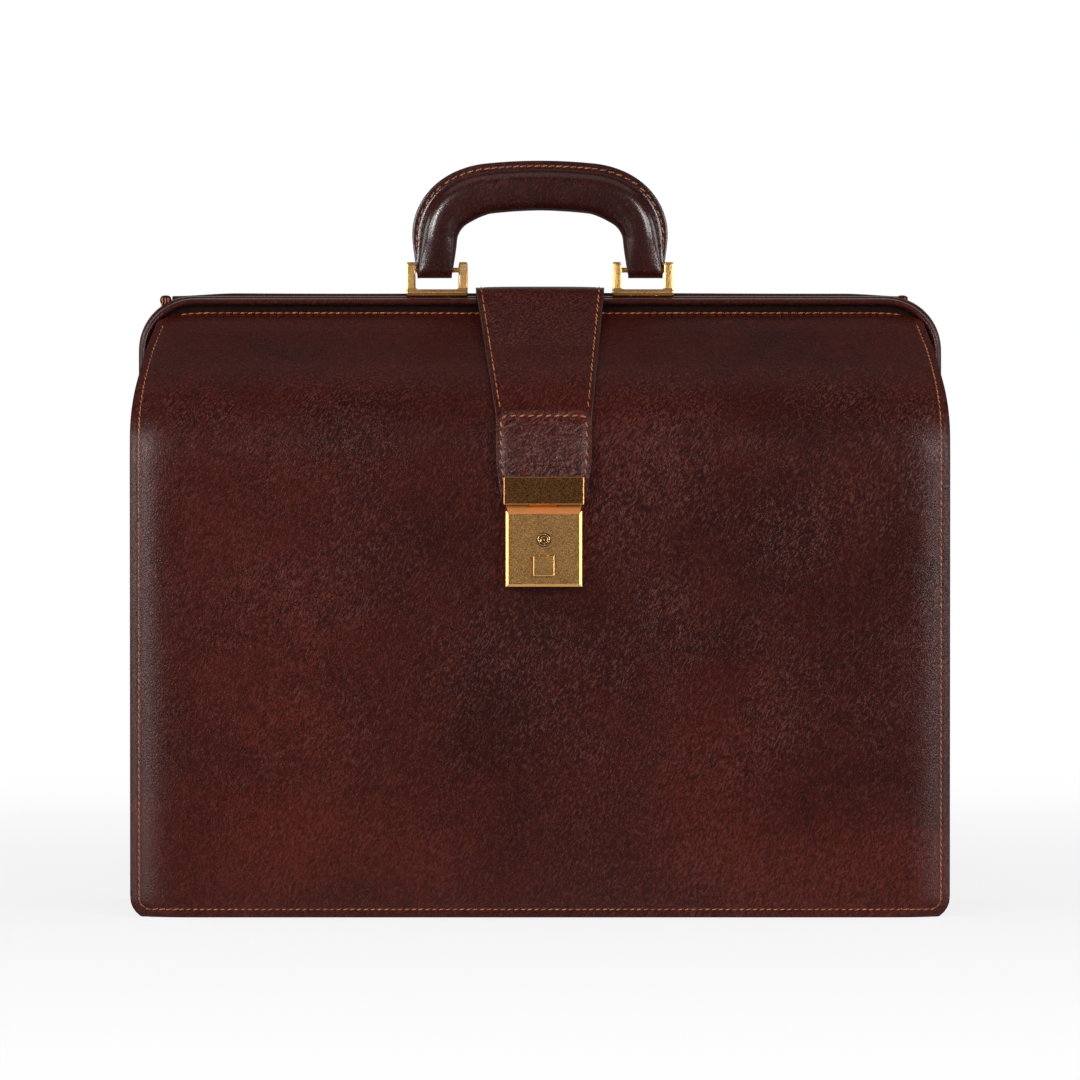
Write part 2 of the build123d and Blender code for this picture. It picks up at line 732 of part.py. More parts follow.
with BuildPart() as button_spring:
    spring_from = plate_t + spring_wire / 2 + running_gap
    spring_to = lip_out - spring_wire / 2 - running_gap
    with BuildLine() as coil:
        Helix(
            pitch=(spring_to - spring_from) / spring_turns,
            height=spring_to - spring_from,
            radius=spring_r,
            center=(lock_x, -half_d - spring_from, spring_z),
            direction=(0, -1, 0),
        )
    with BuildSketch(Plane(origin=coil.line @ 0, z_dir=coil.line % 0)):
        Circle(spring_wire / 2)
    sweep(path=coil.line)
finish("button_spring", button_spring)

# Latch lever: two arms beside the key works, a bar across each end, a barrel on the pin
with BuildPart() as latch_lever:
    with BuildSketch(lock_face(lever_out)):
        for sx in (-1, 1):
            with Locations((sx * lever_arm_x, (lever_low + lever_high) / 2)):
                Rectangle(lever_arm_w, lever_high - lever_low)
        for bar_z in (lever_low + lever_bar / 2, lever_high - lever_bar / 2):
            with Locations((0, bar_z)):
                Rectangle(2 * lever_arm_x + lever_arm_w, lever_bar)
    extrude(amount=lever_t)
    with BuildSketch(section("front", lock_x)):
        with Locations((half_d + lever_axis, latch_pin_z)):
            Circle(latch_barrel_r)
    extrude(amount=ear_x - ear_t / 2 - soft_gap, both=True)
    with BuildSketch(section("front", lock_x)):
        with Locations((half_d + lever_axis, latch_pin_z)):
            Circle(latch_pin_r + running_gap)
    extrude(amount=ear_x, both=True, mode=Mode.SUBTRACT)
finish("latch_lever", latch_lever)

# Lock cam: turned by the key round its post
with BuildPart() as lock_cam:
    with BuildSketch(lock_face(cam_out)):
        with Locations((0, key_z)):
            Circle(cam_r)
        with Locations((cam_tab / 2, key_z)):
            Rectangle(cam_tab, cam_r / 2)
        with Locations((0, key_z - cam_r)):
            Rectangle(key_slot_w, cam_r / 2, mode=Mode.SUBTRACT)
        with Locations((0, key_z)):
            Circle(post_r + running_gap, mode=Mode.SUBTRACT)
    extrude(amount=cam_t)
finish("lock_cam", lock_cam)

# Handle brackets: a base bar with two posts, and a pin between them
base_low = frame_top["back"] + seat_gap
base_high = base_low + bracket_base_h
for name, sx in (("left", -1), ("right", 1)):
    with BuildPart() as bracket:
        with BuildSketch(Plane.XZ.offset(-roll_y)):
            with Locations((sx * bracket_x, (base_low + base_high) / 2)):
                Rectangle(bracket_w, bracket_base_h)
        extrude(amount=bracket_base_d / 2, both=True)
        for px in (-1, 1):
            post_x = sx * bracket_x + px * (bracket_w - bracket_post_w) / 2
            with BuildSketch(Plane.XZ.offset(-roll_y)):
                with Locations((post_x, (base_low + bracket_top) / 2)):
                    Rectangle(bracket_post_w, bracket_top - base_low)
            extrude(amount=bracket_post_d / 2, both=True)
        chamfer(faces().sort_by(Axis.Z)[-2:].edges(), length=bracket_edge)
        chamfer(faces().sort_by(Axis.Y)[0].edges().filter_by(Axis.X), length=bracket_edge)
        chamfer(faces().sort_by(Axis.Y)[-1].edges().filter_by(Axis.X), length=bracket_edge)
        with BuildSketch(section("back", sx * bracket_x)):
            with Locations((roll_y, pin_z)):
                Circle(pin_r + running_gap)
        extrude(amount=bracket_w / 2 - bracket_post_w / 3, both=True, mode=Mode.SUBTRACT)
        with BuildSketch(Plane.XY.offset(base_high)):
            with Locations((sx * bracket_x, roll_y)):
                with GridLocations(2 * screw_x, 1, 2, 1):
                    Circle(screw_head_r + running_gap)
        extrude(amount=-screw_head_h, mode=Mode.SUBTRACT)
        with BuildSketch(Plane.XY.offset(base_high)):
            with Locations((sx * bracket_x, roll_y)):
                with GridLocations(2 * screw_x, 1, 2, 1):
                    Circle(screw_r + running_gap)
        extrude(amount=-bracket_base_h, mode=Mode.SUBTRACT)
    finish(f"{name}_bracket", bracket)

    with BuildPart() as pin:
        with BuildSketch(section("back", sx * bracket_x)):
            with Locations((roll_y, pin_z)):
                Circle(pin_r)
        extrude(amount=bracket_w / 2 - bracket_post_w / 3 - running_gap, both=True)
    finish(f"{name}_handle_pin", pin)

with BuildPart() as bracket_screws:
    with BuildSketch(Plane.XY.offset(base_high - running_gap)):
        with Locations((bracket_x, roll_y), (-bracket_x, roll_y)):
            with GridLocations(2 * screw_x, 1, 2, 1):
                Circle(screw_head_r)
    extrude(amount=-screw_head_h + running_gap)
    with BuildSketch(Plane.XY.offset(base_high - screw_head_h / 2)):
        with Locations((bracket_x, roll_y), (-bracket_x, roll_y)):
            with GridLocations(2 * screw_x, 1, 2, 1):
                Circle(screw_r)
    extrude(amount=roll_z["back"] - base_high)
finish("bracket_screws", bracket_screws)

# Handle: a padded grip on a core, and a loop of leather round each pin
turn = radians(grip_turn_deg)
crown_r = (grip_x - grip_turn_r * (1 - cos(turn))) / cos(turn)
turn_end = (grip_x - grip_turn_r * (1 - cos(turn)), grip_turn_z + grip_turn_r * sin(turn))
crown_z = turn_end[1] + crown_r * (1 - sin(turn))
grip_start = grip_turn_z - grip_straight


def grip_path():
    """The grip's centre line, from the left leg over the top to the right leg."""
    with BuildLine(Plane.XZ.offset(-roll_y)) as path:
        Line((-grip_x, grip_start), (-grip_x, grip_turn_z))
        CenterArc((-grip_x + grip_turn_r, grip_turn_z), grip_turn_r, 180, -grip_turn_deg)
        CenterArc((0, crown_z - crown_r), crown_r, 180 - grip_turn_deg, 2 * grip_turn_deg - 180)
        CenterArc((grip_x - grip_turn_r, grip_turn_z), grip_turn_r, grip_turn_deg, -grip_turn_deg)
        Line((grip_x, grip_turn_z), (grip_x, grip_start))
    return path.line


grip_line = grip_path()
leg_plane = Plane(origin=(-grip_x, roll_y, grip_start), x_dir=(1, 0, 0), z_dir=(0, 0, 1))
with BuildPart() as handle_grip:
    with BuildSketch(leg_plane):
        Ellipse(grip_section / 2, grip_depth / 2)
        Ellipse(core_section / 2, core_depth / 2, mode=Mode.SUBTRACT)
    sweep(path=grip_line)
    for sx in (-1, 1):
        with BuildSketch(Plane(origin=(sx * grip_x, roll_y, grip_start))):
            Ellipse(grip_section / 2, grip_depth / 2)
        with BuildSketch(Plane(origin=(sx * loop_x, roll_y, loop_top))):
            Ellipse(loop_w / 2, loop_r)
        loft()
        with BuildSketch(section("back", sx * loop_x)):
            with Locations((roll_y, pin_z)):
                Circle(loop_r)
            with Locations((roll_y, (pin_z + loop_top) / 2)):
                Rectangle(2 * loop_r, loop_top - pin_z)
        extrude(amount=loop_w / 2, both=True)
        with BuildSketch(section("back", sx * loop_x)):
            with Locations((roll_y, pin_z)):
                Circle(pin_r + running_gap)
        extrude(amount=loop_w, both=True, mode=Mode.SUBTRACT)
finish("handle_grip", handle_grip)

with BuildPart() as handle_core:
    with BuildSketch(leg_plane):
        Ellipse(core_section / 2 - core_gap, core_depth / 2 - core_gap)
    sweep(path=grip_line)
finish("handle_core", handle_core)
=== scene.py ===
# %% [markdown]
# A leather doctor's bag
#
# The bag is two sheets of thick leather sewn to a narrow strip, with a mouth held by two
# hinged frames. A strap with a brass lock closes it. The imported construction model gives
# every place and size; this notebook gives it leather, thread and metal.

import json
import math
import random

import bpy
import numpy as np
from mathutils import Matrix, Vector


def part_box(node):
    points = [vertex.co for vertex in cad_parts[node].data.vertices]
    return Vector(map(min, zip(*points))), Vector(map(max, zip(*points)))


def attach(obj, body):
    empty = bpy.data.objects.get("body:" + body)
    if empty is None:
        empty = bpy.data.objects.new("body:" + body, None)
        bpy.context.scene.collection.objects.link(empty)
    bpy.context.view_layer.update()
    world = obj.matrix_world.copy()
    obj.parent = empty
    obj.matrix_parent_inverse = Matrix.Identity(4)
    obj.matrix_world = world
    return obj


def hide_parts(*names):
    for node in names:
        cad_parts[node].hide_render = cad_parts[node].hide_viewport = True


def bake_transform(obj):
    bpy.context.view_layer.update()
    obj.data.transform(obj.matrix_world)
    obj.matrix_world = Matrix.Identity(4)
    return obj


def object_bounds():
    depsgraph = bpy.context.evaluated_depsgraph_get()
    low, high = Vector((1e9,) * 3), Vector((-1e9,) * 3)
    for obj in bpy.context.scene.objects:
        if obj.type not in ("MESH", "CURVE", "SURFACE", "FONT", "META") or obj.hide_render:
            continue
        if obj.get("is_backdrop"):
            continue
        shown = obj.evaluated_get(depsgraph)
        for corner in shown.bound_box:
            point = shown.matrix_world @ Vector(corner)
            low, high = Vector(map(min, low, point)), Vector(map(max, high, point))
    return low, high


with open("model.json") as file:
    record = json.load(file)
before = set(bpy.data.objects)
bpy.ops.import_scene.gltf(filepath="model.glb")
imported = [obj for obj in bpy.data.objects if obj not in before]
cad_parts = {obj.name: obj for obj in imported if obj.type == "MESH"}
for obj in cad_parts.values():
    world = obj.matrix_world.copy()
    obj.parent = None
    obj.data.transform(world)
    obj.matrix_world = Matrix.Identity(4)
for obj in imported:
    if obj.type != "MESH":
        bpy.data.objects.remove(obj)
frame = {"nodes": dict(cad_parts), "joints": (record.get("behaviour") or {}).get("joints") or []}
construction_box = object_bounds()
joints = {joint["name"]: joint for joint in frame["joints"]}

# %% [markdown]
# Camera first. The bag was photographed from straight ahead with a long lens, a little
# above its middle. The lens is worked out from the size of one pixel at the bag's face, so
# the render lines up with the photograph.

# %% Camera
FRAME_PIXELS = 1080
PIXEL = 0.0005128  # metres per pixel at the front leather
FLOOR_ROW = 918  # row of the bag's lowest edge
DISTANCE = 5.0
ELEVATION = math.radians(1.5)
SENSOR_MM = 36.0

face_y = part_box("front_panel")[0].y
aim = Vector((0, face_y, (FLOOR_ROW - FRAME_PIXELS / 2) * PIXEL))
bpy.ops.object.camera_add()
camera = bpy.context.object
camera.name = "camera"
camera.location = aim + DISTANCE * Vector((0, -math.cos(ELEVATION), math.sin(ELEVATION)))
camera.rotation_euler = (math.pi / 2 - ELEVATION, 0, 0)
camera.data.sensor_width = SENSOR_MM
camera.data.lens = SENSOR_MM * DISTANCE / (FRAME_PIXELS * PIXEL)
bpy.context.scene.camera = camera
bpy.context.scene.view_settings.view_transform = "Standard"
print("lens", round(camera.data.lens), "mm at", DISTANCE, "m")

# %% [markdown]
# Shader arithmetic. A material in Blender is a network of nodes, and a pattern of any depth
# takes dozens of Math nodes. They could be added and linked one by one, but that hides the
# formula. Here a small class wraps a socket and takes the usual operators, so a pattern is
# written as a sum, and one method adds any other node.


# %% Shader helpers
class Value:
    """A number that varies over a surface: a socket that takes Python arithmetic."""

    def __init__(self, net, socket):
        self.net = net
        self.socket = socket

    def math(self, operation, *others, clamp=False):
        settings = {"operation": operation, "use_clamp": clamp}
        return self.net.add("ShaderNodeMath", settings, dict(enumerate((self, *others))))

    def __add__(self, other):
        return self.math("ADD", other)

    def __sub__(self, other):
        return self.math("SUBTRACT", other)

    def __rsub__(self, other):
        return (self * -1.0) + other

    def __mul__(self, other):
        return self.math("MULTIPLY", other)

    def __truediv__(self, other):
        return self.math("DIVIDE", other)

    def __pow__(self, other):
        return self.math("POWER", other)

    __radd__ = __add__
    __rmul__ = __mul__

    def clamp(self):
        return self.math("ADD", 0.0, clamp=True)

    def above(self, low, high):
        """0 below low, 1 above high, smooth between."""
        settings = {"interpolation_type": "SMOOTHSTEP"}
        links = {"Value": self, "From Min": low, "From Max": high}
        return self.net.add("ShaderNodeMapRange", settings, links, "Result")


class Net:
    """The nodes of one new material, or of the world when its tree is given."""

    def __init__(self, name, tree=None):
        if tree is None:
            self.material = bpy.data.materials.new(name)
            self.material.use_nodes = True
            tree = self.material.node_tree
        self.tree = tree
        self.tree.nodes.clear()

    def add(self, kind, settings=None, links=None, output=0):
        """Add a node: settings first, then the values or links of its inputs."""
        node = self.tree.nodes.new(kind)
        for key, value in (settings or {}).items():
            setattr(node, key, value)
        for key, value in (links or {}).items():
            if isinstance(value, Value):
                self.tree.links.new(value.socket, node.inputs[key])
            else:
                node.inputs[key].default_value = value
        return Value(self, node.outputs[output])

    def place(self, stretch=(1, 1, 1), turn=(0, 0, 0)):
        """The piece's own coordinates in metres, for a pattern that is stretched, then turned."""
        place = self.add("ShaderNodeTexCoord", output="Object")
        links = {"Vector": place, "Scale": stretch, "Rotation": turn}
        return self.add("ShaderNodeMapping", {"vector_type": "TEXTURE"}, links, "Vector")

    def axes(self, vector):
        """The X, Y and Z parts of a vector."""
        split = self.add("ShaderNodeSeparateXYZ", None, {"Vector": vector}, "X").socket.node
        return [Value(self, split.outputs[axis]) for axis in "XYZ"]

    def noise(self, place, scale, detail=2.0, roughness=0.5, distortion=0.0):
        links = {"Vector": place, "Scale": scale, "Detail": detail}
        links.update({"Roughness": roughness, "Distortion": distortion})
        return self.add("ShaderNodeTexNoise", {"noise_dimensions": "3D"}, links, "Fac")

    def cells(self, place, scale):
        """How far a place lies from the borders of a pattern of cells."""
        links = {"Vector": place, "Scale": scale}
        return self.add(
            "ShaderNodeTexVoronoi", {"feature": "DISTANCE_TO_EDGE"}, links, "Distance"
        )

    def shift(self, vector, amount):
        """Move a vector by the same amount along its three axes."""
        links = {0: vector, 1: amount}
        return self.add("ShaderNodeVectorMath", {"operation": "ADD"}, links, "Vector")

    def blend(self, factor, low, high):
        """Mix two colours."""
        settings = {"data_type": "RGBA"}
        links = {0: factor, 6: low, 7: high}
        return self.add("ShaderNodeMix", settings, links, 2)

    def bump(self, height, depth, strength):
        links = {"Height": height, "Distance": depth, "Strength": strength}
        return self.add("ShaderNodeBump", None, links, "Normal")

    def finish(self, surface):
        """Set the Principled surface that this finish ends in."""
        shader = self.add("ShaderNodeBsdfPrincipled", None, surface, "BSDF")
        self.add_output(shader)
        return self.material

    def add_output(self, shader, kind="ShaderNodeOutputMaterial"):
        node = self.tree.nodes.new(kind)
        self.tree.links.new(shader.socket, node.inputs["Surface"])


def colour(red, green, blue):
    return (red, green, blue, 1.0)


# %% [markdown]
# Studio floor. The bag stands on white. A white floor under strong lamps would do it, but
# then the bag would be too bright. Instead a plain pale grey, which keeps the bag's shadow, is
# mixed with a white glow that only a camera or a mirror sees. Polished leather shows mostly
# what it mirrors, so in mirrors the glow is bright only close to the bag, where the lower
# edges pick it up.

# %% Floor
FLOOR_SIZE = 60.0
FLOOR_GREY = 0.82
FLOOR_WHITE = (0.80, 1.00)  # how much of it the camera sees white, under the bag and far off
WHITE_REACH = (0.3, 1.5)  # metres from the middle between those two
FLOOR_MIRRORED = 0.08  # how bright a mirror sees the floor far in front of the bag
FLOOR_BESIDE = 0.9  # and close to it, where a camera sees 1
MIRROR_REACH = (0.14, 0.38)  # metres from the middle between those two

bpy.ops.mesh.primitive_circle_add(vertices=96, radius=FLOOR_SIZE / 2, fill_type="NGON")
floor = bpy.context.object
floor.name = "studio_floor"
floor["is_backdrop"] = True


def ray_kinds(net):
    """Whether a ray comes from the camera, off a mirror or through glass."""
    first = net.add("ShaderNodeLightPath", output="Is Camera Ray")
    outputs = first.socket.node.outputs
    return first, Value(net, outputs["Is Glossy Ray"]), Value(net, outputs["Is Transmission Ray"])


net = Net("floor")
straight, mirrored, through = ray_kinds(net)
east, north, _ = net.axes(net.place())
reach = (east * east + north * north) ** 0.5
whiteness = FLOOR_WHITE[0] + (FLOOR_WHITE[1] - FLOOR_WHITE[0]) * reach.above(*WHITE_REACH)
seen = (straight.math("MAXIMUM", through) * whiteness).math("MAXIMUM", mirrored)
in_mirrors = FLOOR_BESIDE + (FLOOR_MIRRORED - FLOOR_BESIDE) * reach.above(*MIRROR_REACH)
strength = 1.0 + mirrored * (in_mirrors - 1.0)
plain = net.add("ShaderNodeBsdfDiffuse", None, {"Color": colour(*[FLOOR_GREY] * 3)})
white = net.add("ShaderNodeEmission", None, {"Color": colour(1, 1, 1), "Strength": strength})
net.add_output(net.add("ShaderNodeMixShader", None, {0: seen, 1: plain, 2: white}))
floor.data.materials.append(net.material)
print("floor", FLOOR_SIZE, "m across")

# %% [markdown]
# Air. The world is what the bag mirrors where no lamp stands. An even white world would veil
# the dark leather in grey, so the air in front of the bag is dim in mirrors, and the backdrop
# behind it is brighter, which draws the thin lines along its upper edges.

# %% World
AIR_LIGHT = 0.30  # what the air gives to a dull surface
AIR_MIRRORED = 0.04  # how bright a mirror sees the air in front of the bag
BACKDROP_MIRRORED = 0.50  # and the backdrop behind it
BACKDROP_EDGE = (0.55, 0.95)  # how straight backwards a mirror has to look to see it

world = bpy.data.worlds.new("studio")
bpy.context.scene.world = world
world.use_nodes = True
air = Net("air", world.node_tree)
straight, mirrored, through = ray_kinds(air)
_, behind, _ = air.axes(air.add("ShaderNodeTexCoord", output="Generated"))
backdrop = (BACKDROP_MIRRORED - AIR_MIRRORED) * behind.above(*BACKDROP_EDGE)
in_mirrors = AIR_MIRRORED + backdrop
direct = straight.math("MAXIMUM", through)
strength = AIR_LIGHT + direct * (1 - AIR_LIGHT) + mirrored * (in_mirrors - AIR_LIGHT)
sky = air.add("ShaderNodeBackground", None, {0: colour(1, 1, 1), 1: strength})
air.add_output(sky, "ShaderNodeOutputWorld")
print("air gives", AIR_LIGHT, "and mirrors", AIR_MIRRORED)

# %% [markdown]
# Lamps. Each is a large soft panel that faces the bag. Tall ones stand in pairs at both sides
# of the camera, far enough out that only the leather's curved edges mirror them. The gleams
# and glints are mirrored but give no light, so a highlight can be set without lighting the
# rest, and the fill from above gives light but isn't mirrored.

# %% Lamps
LAMP_AIM = Vector((0, 0, 0.18))
# Pairs: name, place of the left one, width and height, watts left and right, gives light
LAMP_PAIRS = (
    ("lamp", (-1.7, -2.3, 0.75), (0.30, 1.7), (20, 16), True),
    ("gleam", (-1.75, -2.25, 0.75), (0.25, 1.7), (34, 22), False),
    ("glint", (-2.0, -1.4, 0.6), (0.25, 1.2), (18, 18), False),
    ("edge_lamp", (-2.0, -1.4, 0.6), (0.25, 1.2), (6, 6), True),
    ("side_lamp", (-2.2, 0.0, 0.5), (0.6, 1.2), (10, 10), True),
)


def softbox(name, place, size, watts, mirrored=True, lights=True):
    """A large rectangular lamp that faces the bag, which may be only mirrored or only light."""
    bpy.ops.object.light_add(type="AREA", location=place)
    lamp = bpy.context.object
    lamp.name = name
    lamp.data.shape = "RECTANGLE"
    lamp.data.size, lamp.data.size_y = size
    lamp.data.energy = watts
    lamp.rotation_euler = (LAMP_AIM - Vector(place)).to_track_quat("-Z", "Y").to_euler()
    lamp.visible_glossy = mirrored
    lamp.visible_diffuse = lights


for kind, (x, y, z), size, watts, lights in LAMP_PAIRS:
    softbox(f"left_{kind}", (x, y, z), size, watts[0], lights=lights)
    softbox(f"right_{kind}", (-x, y, z), size, watts[1], lights=lights)
softbox("top_lamp", (0, 0.1, 1.75), (2.4, 1.2), 3)
softbox("fill_lamp", (0, -2.2, 1.5), (2.0, 1.2), 22, mirrored=False)
print(2 * len(LAMP_PAIRS) + 2, "lamps")

# %% [markdown]
# Leather's colour. Vegetable-tanned hide is dyed by hand, so it is clouded in dark and red
# patches. A painted picture could carry them, but a pattern of noise needs no file and
# repeats nowhere. Three dyes are mixed by one tint, which is noise at two sizes, and on the
# large sheets a few soft spots make it redder or darker.

# %% Dyes and spots
DARK = colour(0.030, 0.0046, 0.0034)
BROWN = colour(0.052, 0.0062, 0.0034)
RED = colour(0.086, 0.0100, 0.0048)
# Painted shade for the wrinkles' valleys and the borders of the pebble's cells
CREASE_SHADE = colour(0.014, 0.0030, 0.0026)
# Painted sheen for the wrinkles' ridges
RIDGE_SHEEN = colour(0.130, 0.0560, 0.0480)
# Soft spots: across, height, half width, half height, and redder (+) or darker (-)
SPOTS = (
    (-0.160, 0.225, 0.050, 0.045, 0.30),
    (-0.120, 0.125, 0.060, 0.040, 0.42),
    (-0.170, 0.035, 0.060, 0.030, 0.50),
    (-0.050, 0.040, 0.080, 0.030, 0.30),
    (0.060, 0.085, 0.060, 0.040, 0.30),
    (0.070, 0.245, 0.045, 0.030, 0.25),
    (0.150, 0.025, 0.070, 0.022, 0.50),
    (-0.055, 0.150, 0.045, 0.060, -0.35),
    (-0.100, 0.275, 0.080, 0.030, -0.40),
    (0.120, 0.280, 0.080, 0.030, -0.40),
    (0.010, 0.110, 0.045, 0.060, -0.50),
    (0.010, 0.030, 0.040, 0.030, -0.40),
    (0.130, 0.190, 0.070, 0.060, -0.35),
    (0.165, 0.085, 0.050, 0.045, -0.25),
)
SPOT_EDGE = 2.6  # a spot fades out at this many times its half size, squared
print(len(SPOTS), "spots on the front and back")

# %% [markdown]
# Leather's surface. Up close the hide has fine slanting wrinkles over a pebble of small
# cells, with polish over it all. Modelling each wrinkle would take millions of faces. They are
# noise pulled out along a slant, which drives a bump, darkens the valleys and the cells'
# borders as painted shade, and pales the ridges as painted sheen. A pattern of wear makes some
# places more wrinkled than others, with more of that painted shade and sheen.

# %% Leather finish
CLOUDS = 14.0  # how many of each pattern's features lie in a metre
WEAR = 15.0
BENDS = 90.0
FLECKS = 150.0
PEBBLES = 640.0
WRINKLES = 1150.0
WRINKLE_LONG = 2.8  # how many times longer than wide a wrinkle is
GRAIN_DEPTH = 0.00017
# The body's leather is smoother towards its top, its foot and its left side, with less painted
# shade and sheen there
WORN_TOP = (0.290, 0.262)
WORN_FOOT = (0.05, 0.12)
WORN_ACROSS = (-0.10, 0.08)
COAT_ROUGH = 0.16


def leather(name, spotted=False, grain=1.0, tone=0.0, shine=1.0, coat=0.0, slant=20):
    """Polished dyed leather, with the body's large patches if spotted."""
    net = Net(name)
    place = net.place()
    across, _, up = net.axes(place)
    cloud = net.noise(place, CLOUDS, detail=6.0, roughness=0.66, distortion=0.8)
    fleck = net.noise(place, FLECKS, detail=4.0, roughness=0.7)
    tint = (cloud - 0.5) * 2.1 + (fleck - 0.5) * 1.1 + tone
    if spotted:
        for x, z, wide, high, redder in SPOTS:
            away = ((across - x) / wide) ** 2.0 + ((up - z) / high) ** 2.0
            tint = tint + redder * (1.0 - away.above(0.0, SPOT_EDGE))
    warm = net.blend(tint.above(0.0, 0.85), BROWN, RED)
    base = net.blend((tint * -1.0).above(0.0, 0.75), warm, DARK)

    worn = net.noise(place, WEAR, detail=3.0, roughness=0.6).above(0.30, 0.70)
    if spotted:
        worn = worn * up.above(*WORN_TOP) * (0.7 + 0.3 * across.above(*WORN_ACROSS))
        worn = worn * (0.4 + 0.6 * up.above(*WORN_FOOT))
    drawn = net.place(stretch=(1.0, 1.0, WRINKLE_LONG), turn=(0, math.radians(slant), 0))
    bent = net.shift(drawn, net.noise(place, BENDS, detail=2.0) * 0.006)
    wrinkle = net.noise(bent, WRINKLES, detail=3.0, roughness=0.60)
    pebble = net.cells(net.shift(place, wrinkle * 0.001), PEBBLES).above(0.0, 0.2)
    # Painted shade: the colour is darkened in the wrinkles' valleys and along the borders of the
    # pebble's cells
    valley = (1.0 - wrinkle.above(0.38, 0.52)) * (0.50 + 0.50 * worn)
    # Painted sheen: the colour is paled towards grey on the wrinkles' ridges, more where the
    # leather is more wrinkled
    sheen_ridges = wrinkle.above(0.51, 0.64) * (0.30 + 0.70 * worn)
    base = net.blend((valley * 0.95 + (1.0 - pebble) * 0.30).clamp(), base, CREASE_SHADE)
    base = net.blend((sheen_ridges * 0.50 * grain).clamp(), base, RIDGE_SHEEN)
    relief = wrinkle * (0.35 + 0.9 * worn) + pebble * 0.22
    normal = net.bump(relief, GRAIN_DEPTH * grain, 0.9)
    rough = 0.29 - 0.02 * shine + 0.08 * valley + 0.10 * (cloud - 0.5)
    surface = {"Base Color": base, "Roughness": rough, "Normal": normal}
    surface["Specular IOR Level"] = 0.15 * shine
    if coat:
        surface.update({"Coat Weight": coat, "Coat Roughness": COAT_ROUGH})
    return net.finish(surface)


def plain_leather(name, base, rough, gloss=0.3):
    """Painted cut edges and rough inner faces: one colour with a little wear."""
    net = Net(name)
    place = net.place()
    fleck = net.noise(place, 300.0, detail=4.0, roughness=0.65)
    paler = colour(*(1.6 * part for part in base[:3]))
    tinted = net.blend(fleck.above(0.35, 0.75), base, paler)
    normal = net.bump(net.noise(place, 1400.0, detail=3.0), 0.00015, 0.6)
    surface = {"Base Color": tinted, "Roughness": rough, "Normal": normal}
    surface["Specular IOR Level"] = gloss
    return net.finish(surface)


body_leather = leather("body_leather", spotted=True)
trim_leather = leather("trim_leather", grain=0.5, tone=-0.10, shine=1.3, coat=0.04)
# Painted shade: the roll's neck is near black, for the dark gap between the roll and the front
# leather
neck_shade = plain_leather("neck_shade", colour(0.008, 0.0028, 0.0020), 0.7, gloss=0.05)
strap_leather = leather("strap_leather", grain=0.8, tone=0.16)
pad_leather = leather("pad_leather", grain=1.8, tone=0.30, shine=1.5, slant=40)
handle_leather = leather("handle_leather", grain=0.45, tone=-0.45, shine=3.6, coat=0.15)
edge_paint = plain_leather("edge_paint", colour(0.030, 0.021, 0.019), 0.42)
# Painted shade: near black, for the needle holes and the keyhole's grooves; the hidden core of the
# handle wears it too
shade_finish = plain_leather("stitch_hole_shade", colour(0.006, 0.003, 0.003), 0.7)
board = plain_leather("fibreboard", colour(0.09, 0.055, 0.035), 0.8)
print(len(bpy.data.materials), "materials so far")

# %% [markdown]
# Thread and lining. The thread is waxed orange polyester, worn darker here and there, with a
# fine twist that only a bump can show at this size. The lining is a plain weave. A woven mesh
# would be far too heavy for a whole lining, and two crossed waves give the same look.


# %% Thread and lining finishes
def thread_finish(name, pale, deep):
    net = Net(name)
    place = net.place()
    worn = net.noise(place, 160.0, detail=3.0).above(0.35, 0.7)
    twist = net.noise(place, 3200.0, detail=1.0)
    normal = net.bump(twist, 0.00012, 0.8)
    base = net.blend(worn, deep, pale)
    return net.finish({"Base Color": base, "Roughness": 0.55, "Normal": normal})


def cloth_finish(name, low, high, threads):
    """Plain weave: two sets of threads at right angles."""
    net = Net(name)
    across, deep, up = net.axes(net.place())
    warp = ((across + deep) * threads).math("SINE")
    weft = (up * threads).math("SINE")
    weave = (warp * weft).above(-1.0, 1.0)
    fade = net.noise(net.place(), 40.0, detail=4.0)
    base = net.blend((weave * 0.5 + fade * 0.5).clamp(), low, high)
    normal = net.bump(weave, 0.00018, 0.7)
    return net.finish({"Base Color": base, "Roughness": 0.85, "Normal": normal})


orange_thread = thread_finish(
    "orange_thread", colour(0.46, 0.155, 0.036), colour(0.25, 0.060, 0.018)
)
lining_cloth = cloth_finish(
    "lining_cloth", colour(0.085, 0.047, 0.027), colour(0.20, 0.125, 0.075), 5200.0
)
print(orange_thread.name, "and", lining_cloth.name)

# %% [markdown]
# Brass and steel. The lock is satin brass: its flat faces are blasted, so they have a sandy
# grain, and its bevels are polished. Two materials on each piece could do that, but the
# rounded edges between them would show a hard line. One finish reads which way a face looks
# and fades the sand out as it turns aside.


# %% Brass and steel finishes
def brass_finish(name, base, sand=1.0, face_rough=0.36, bevel_rough=0.16, metallic=1.0, dark=0.22):
    """Satin brass, sandy where it faces forwards or back and polished elsewhere."""
    net = Net(name)
    place = net.place()
    facing = net.add("ShaderNodeTexCoord", output="Normal")
    _, front, _ = net.axes(facing)
    flat = front.math("ABSOLUTE").above(0.90, 0.985)
    grit = net.noise(place, 2100.0, detail=3.0, roughness=0.75)
    cloudy = net.noise(place, 140.0, detail=3.0)
    dull = colour(*(dark * part for part in base[:3]))
    tinted = net.blend((flat * (2.1 - grit * 2.8) + cloudy * 0.15).clamp(), base, dull)
    rough = bevel_rough + flat * (face_rough - bevel_rough) + flat * (grit - 0.5) * 0.3
    normal = net.bump(grit * flat, 0.00009 * sand, 0.9)
    return net.finish(
        {"Base Color": tinted, "Metallic": metallic, "Roughness": rough, "Normal": normal}
    )


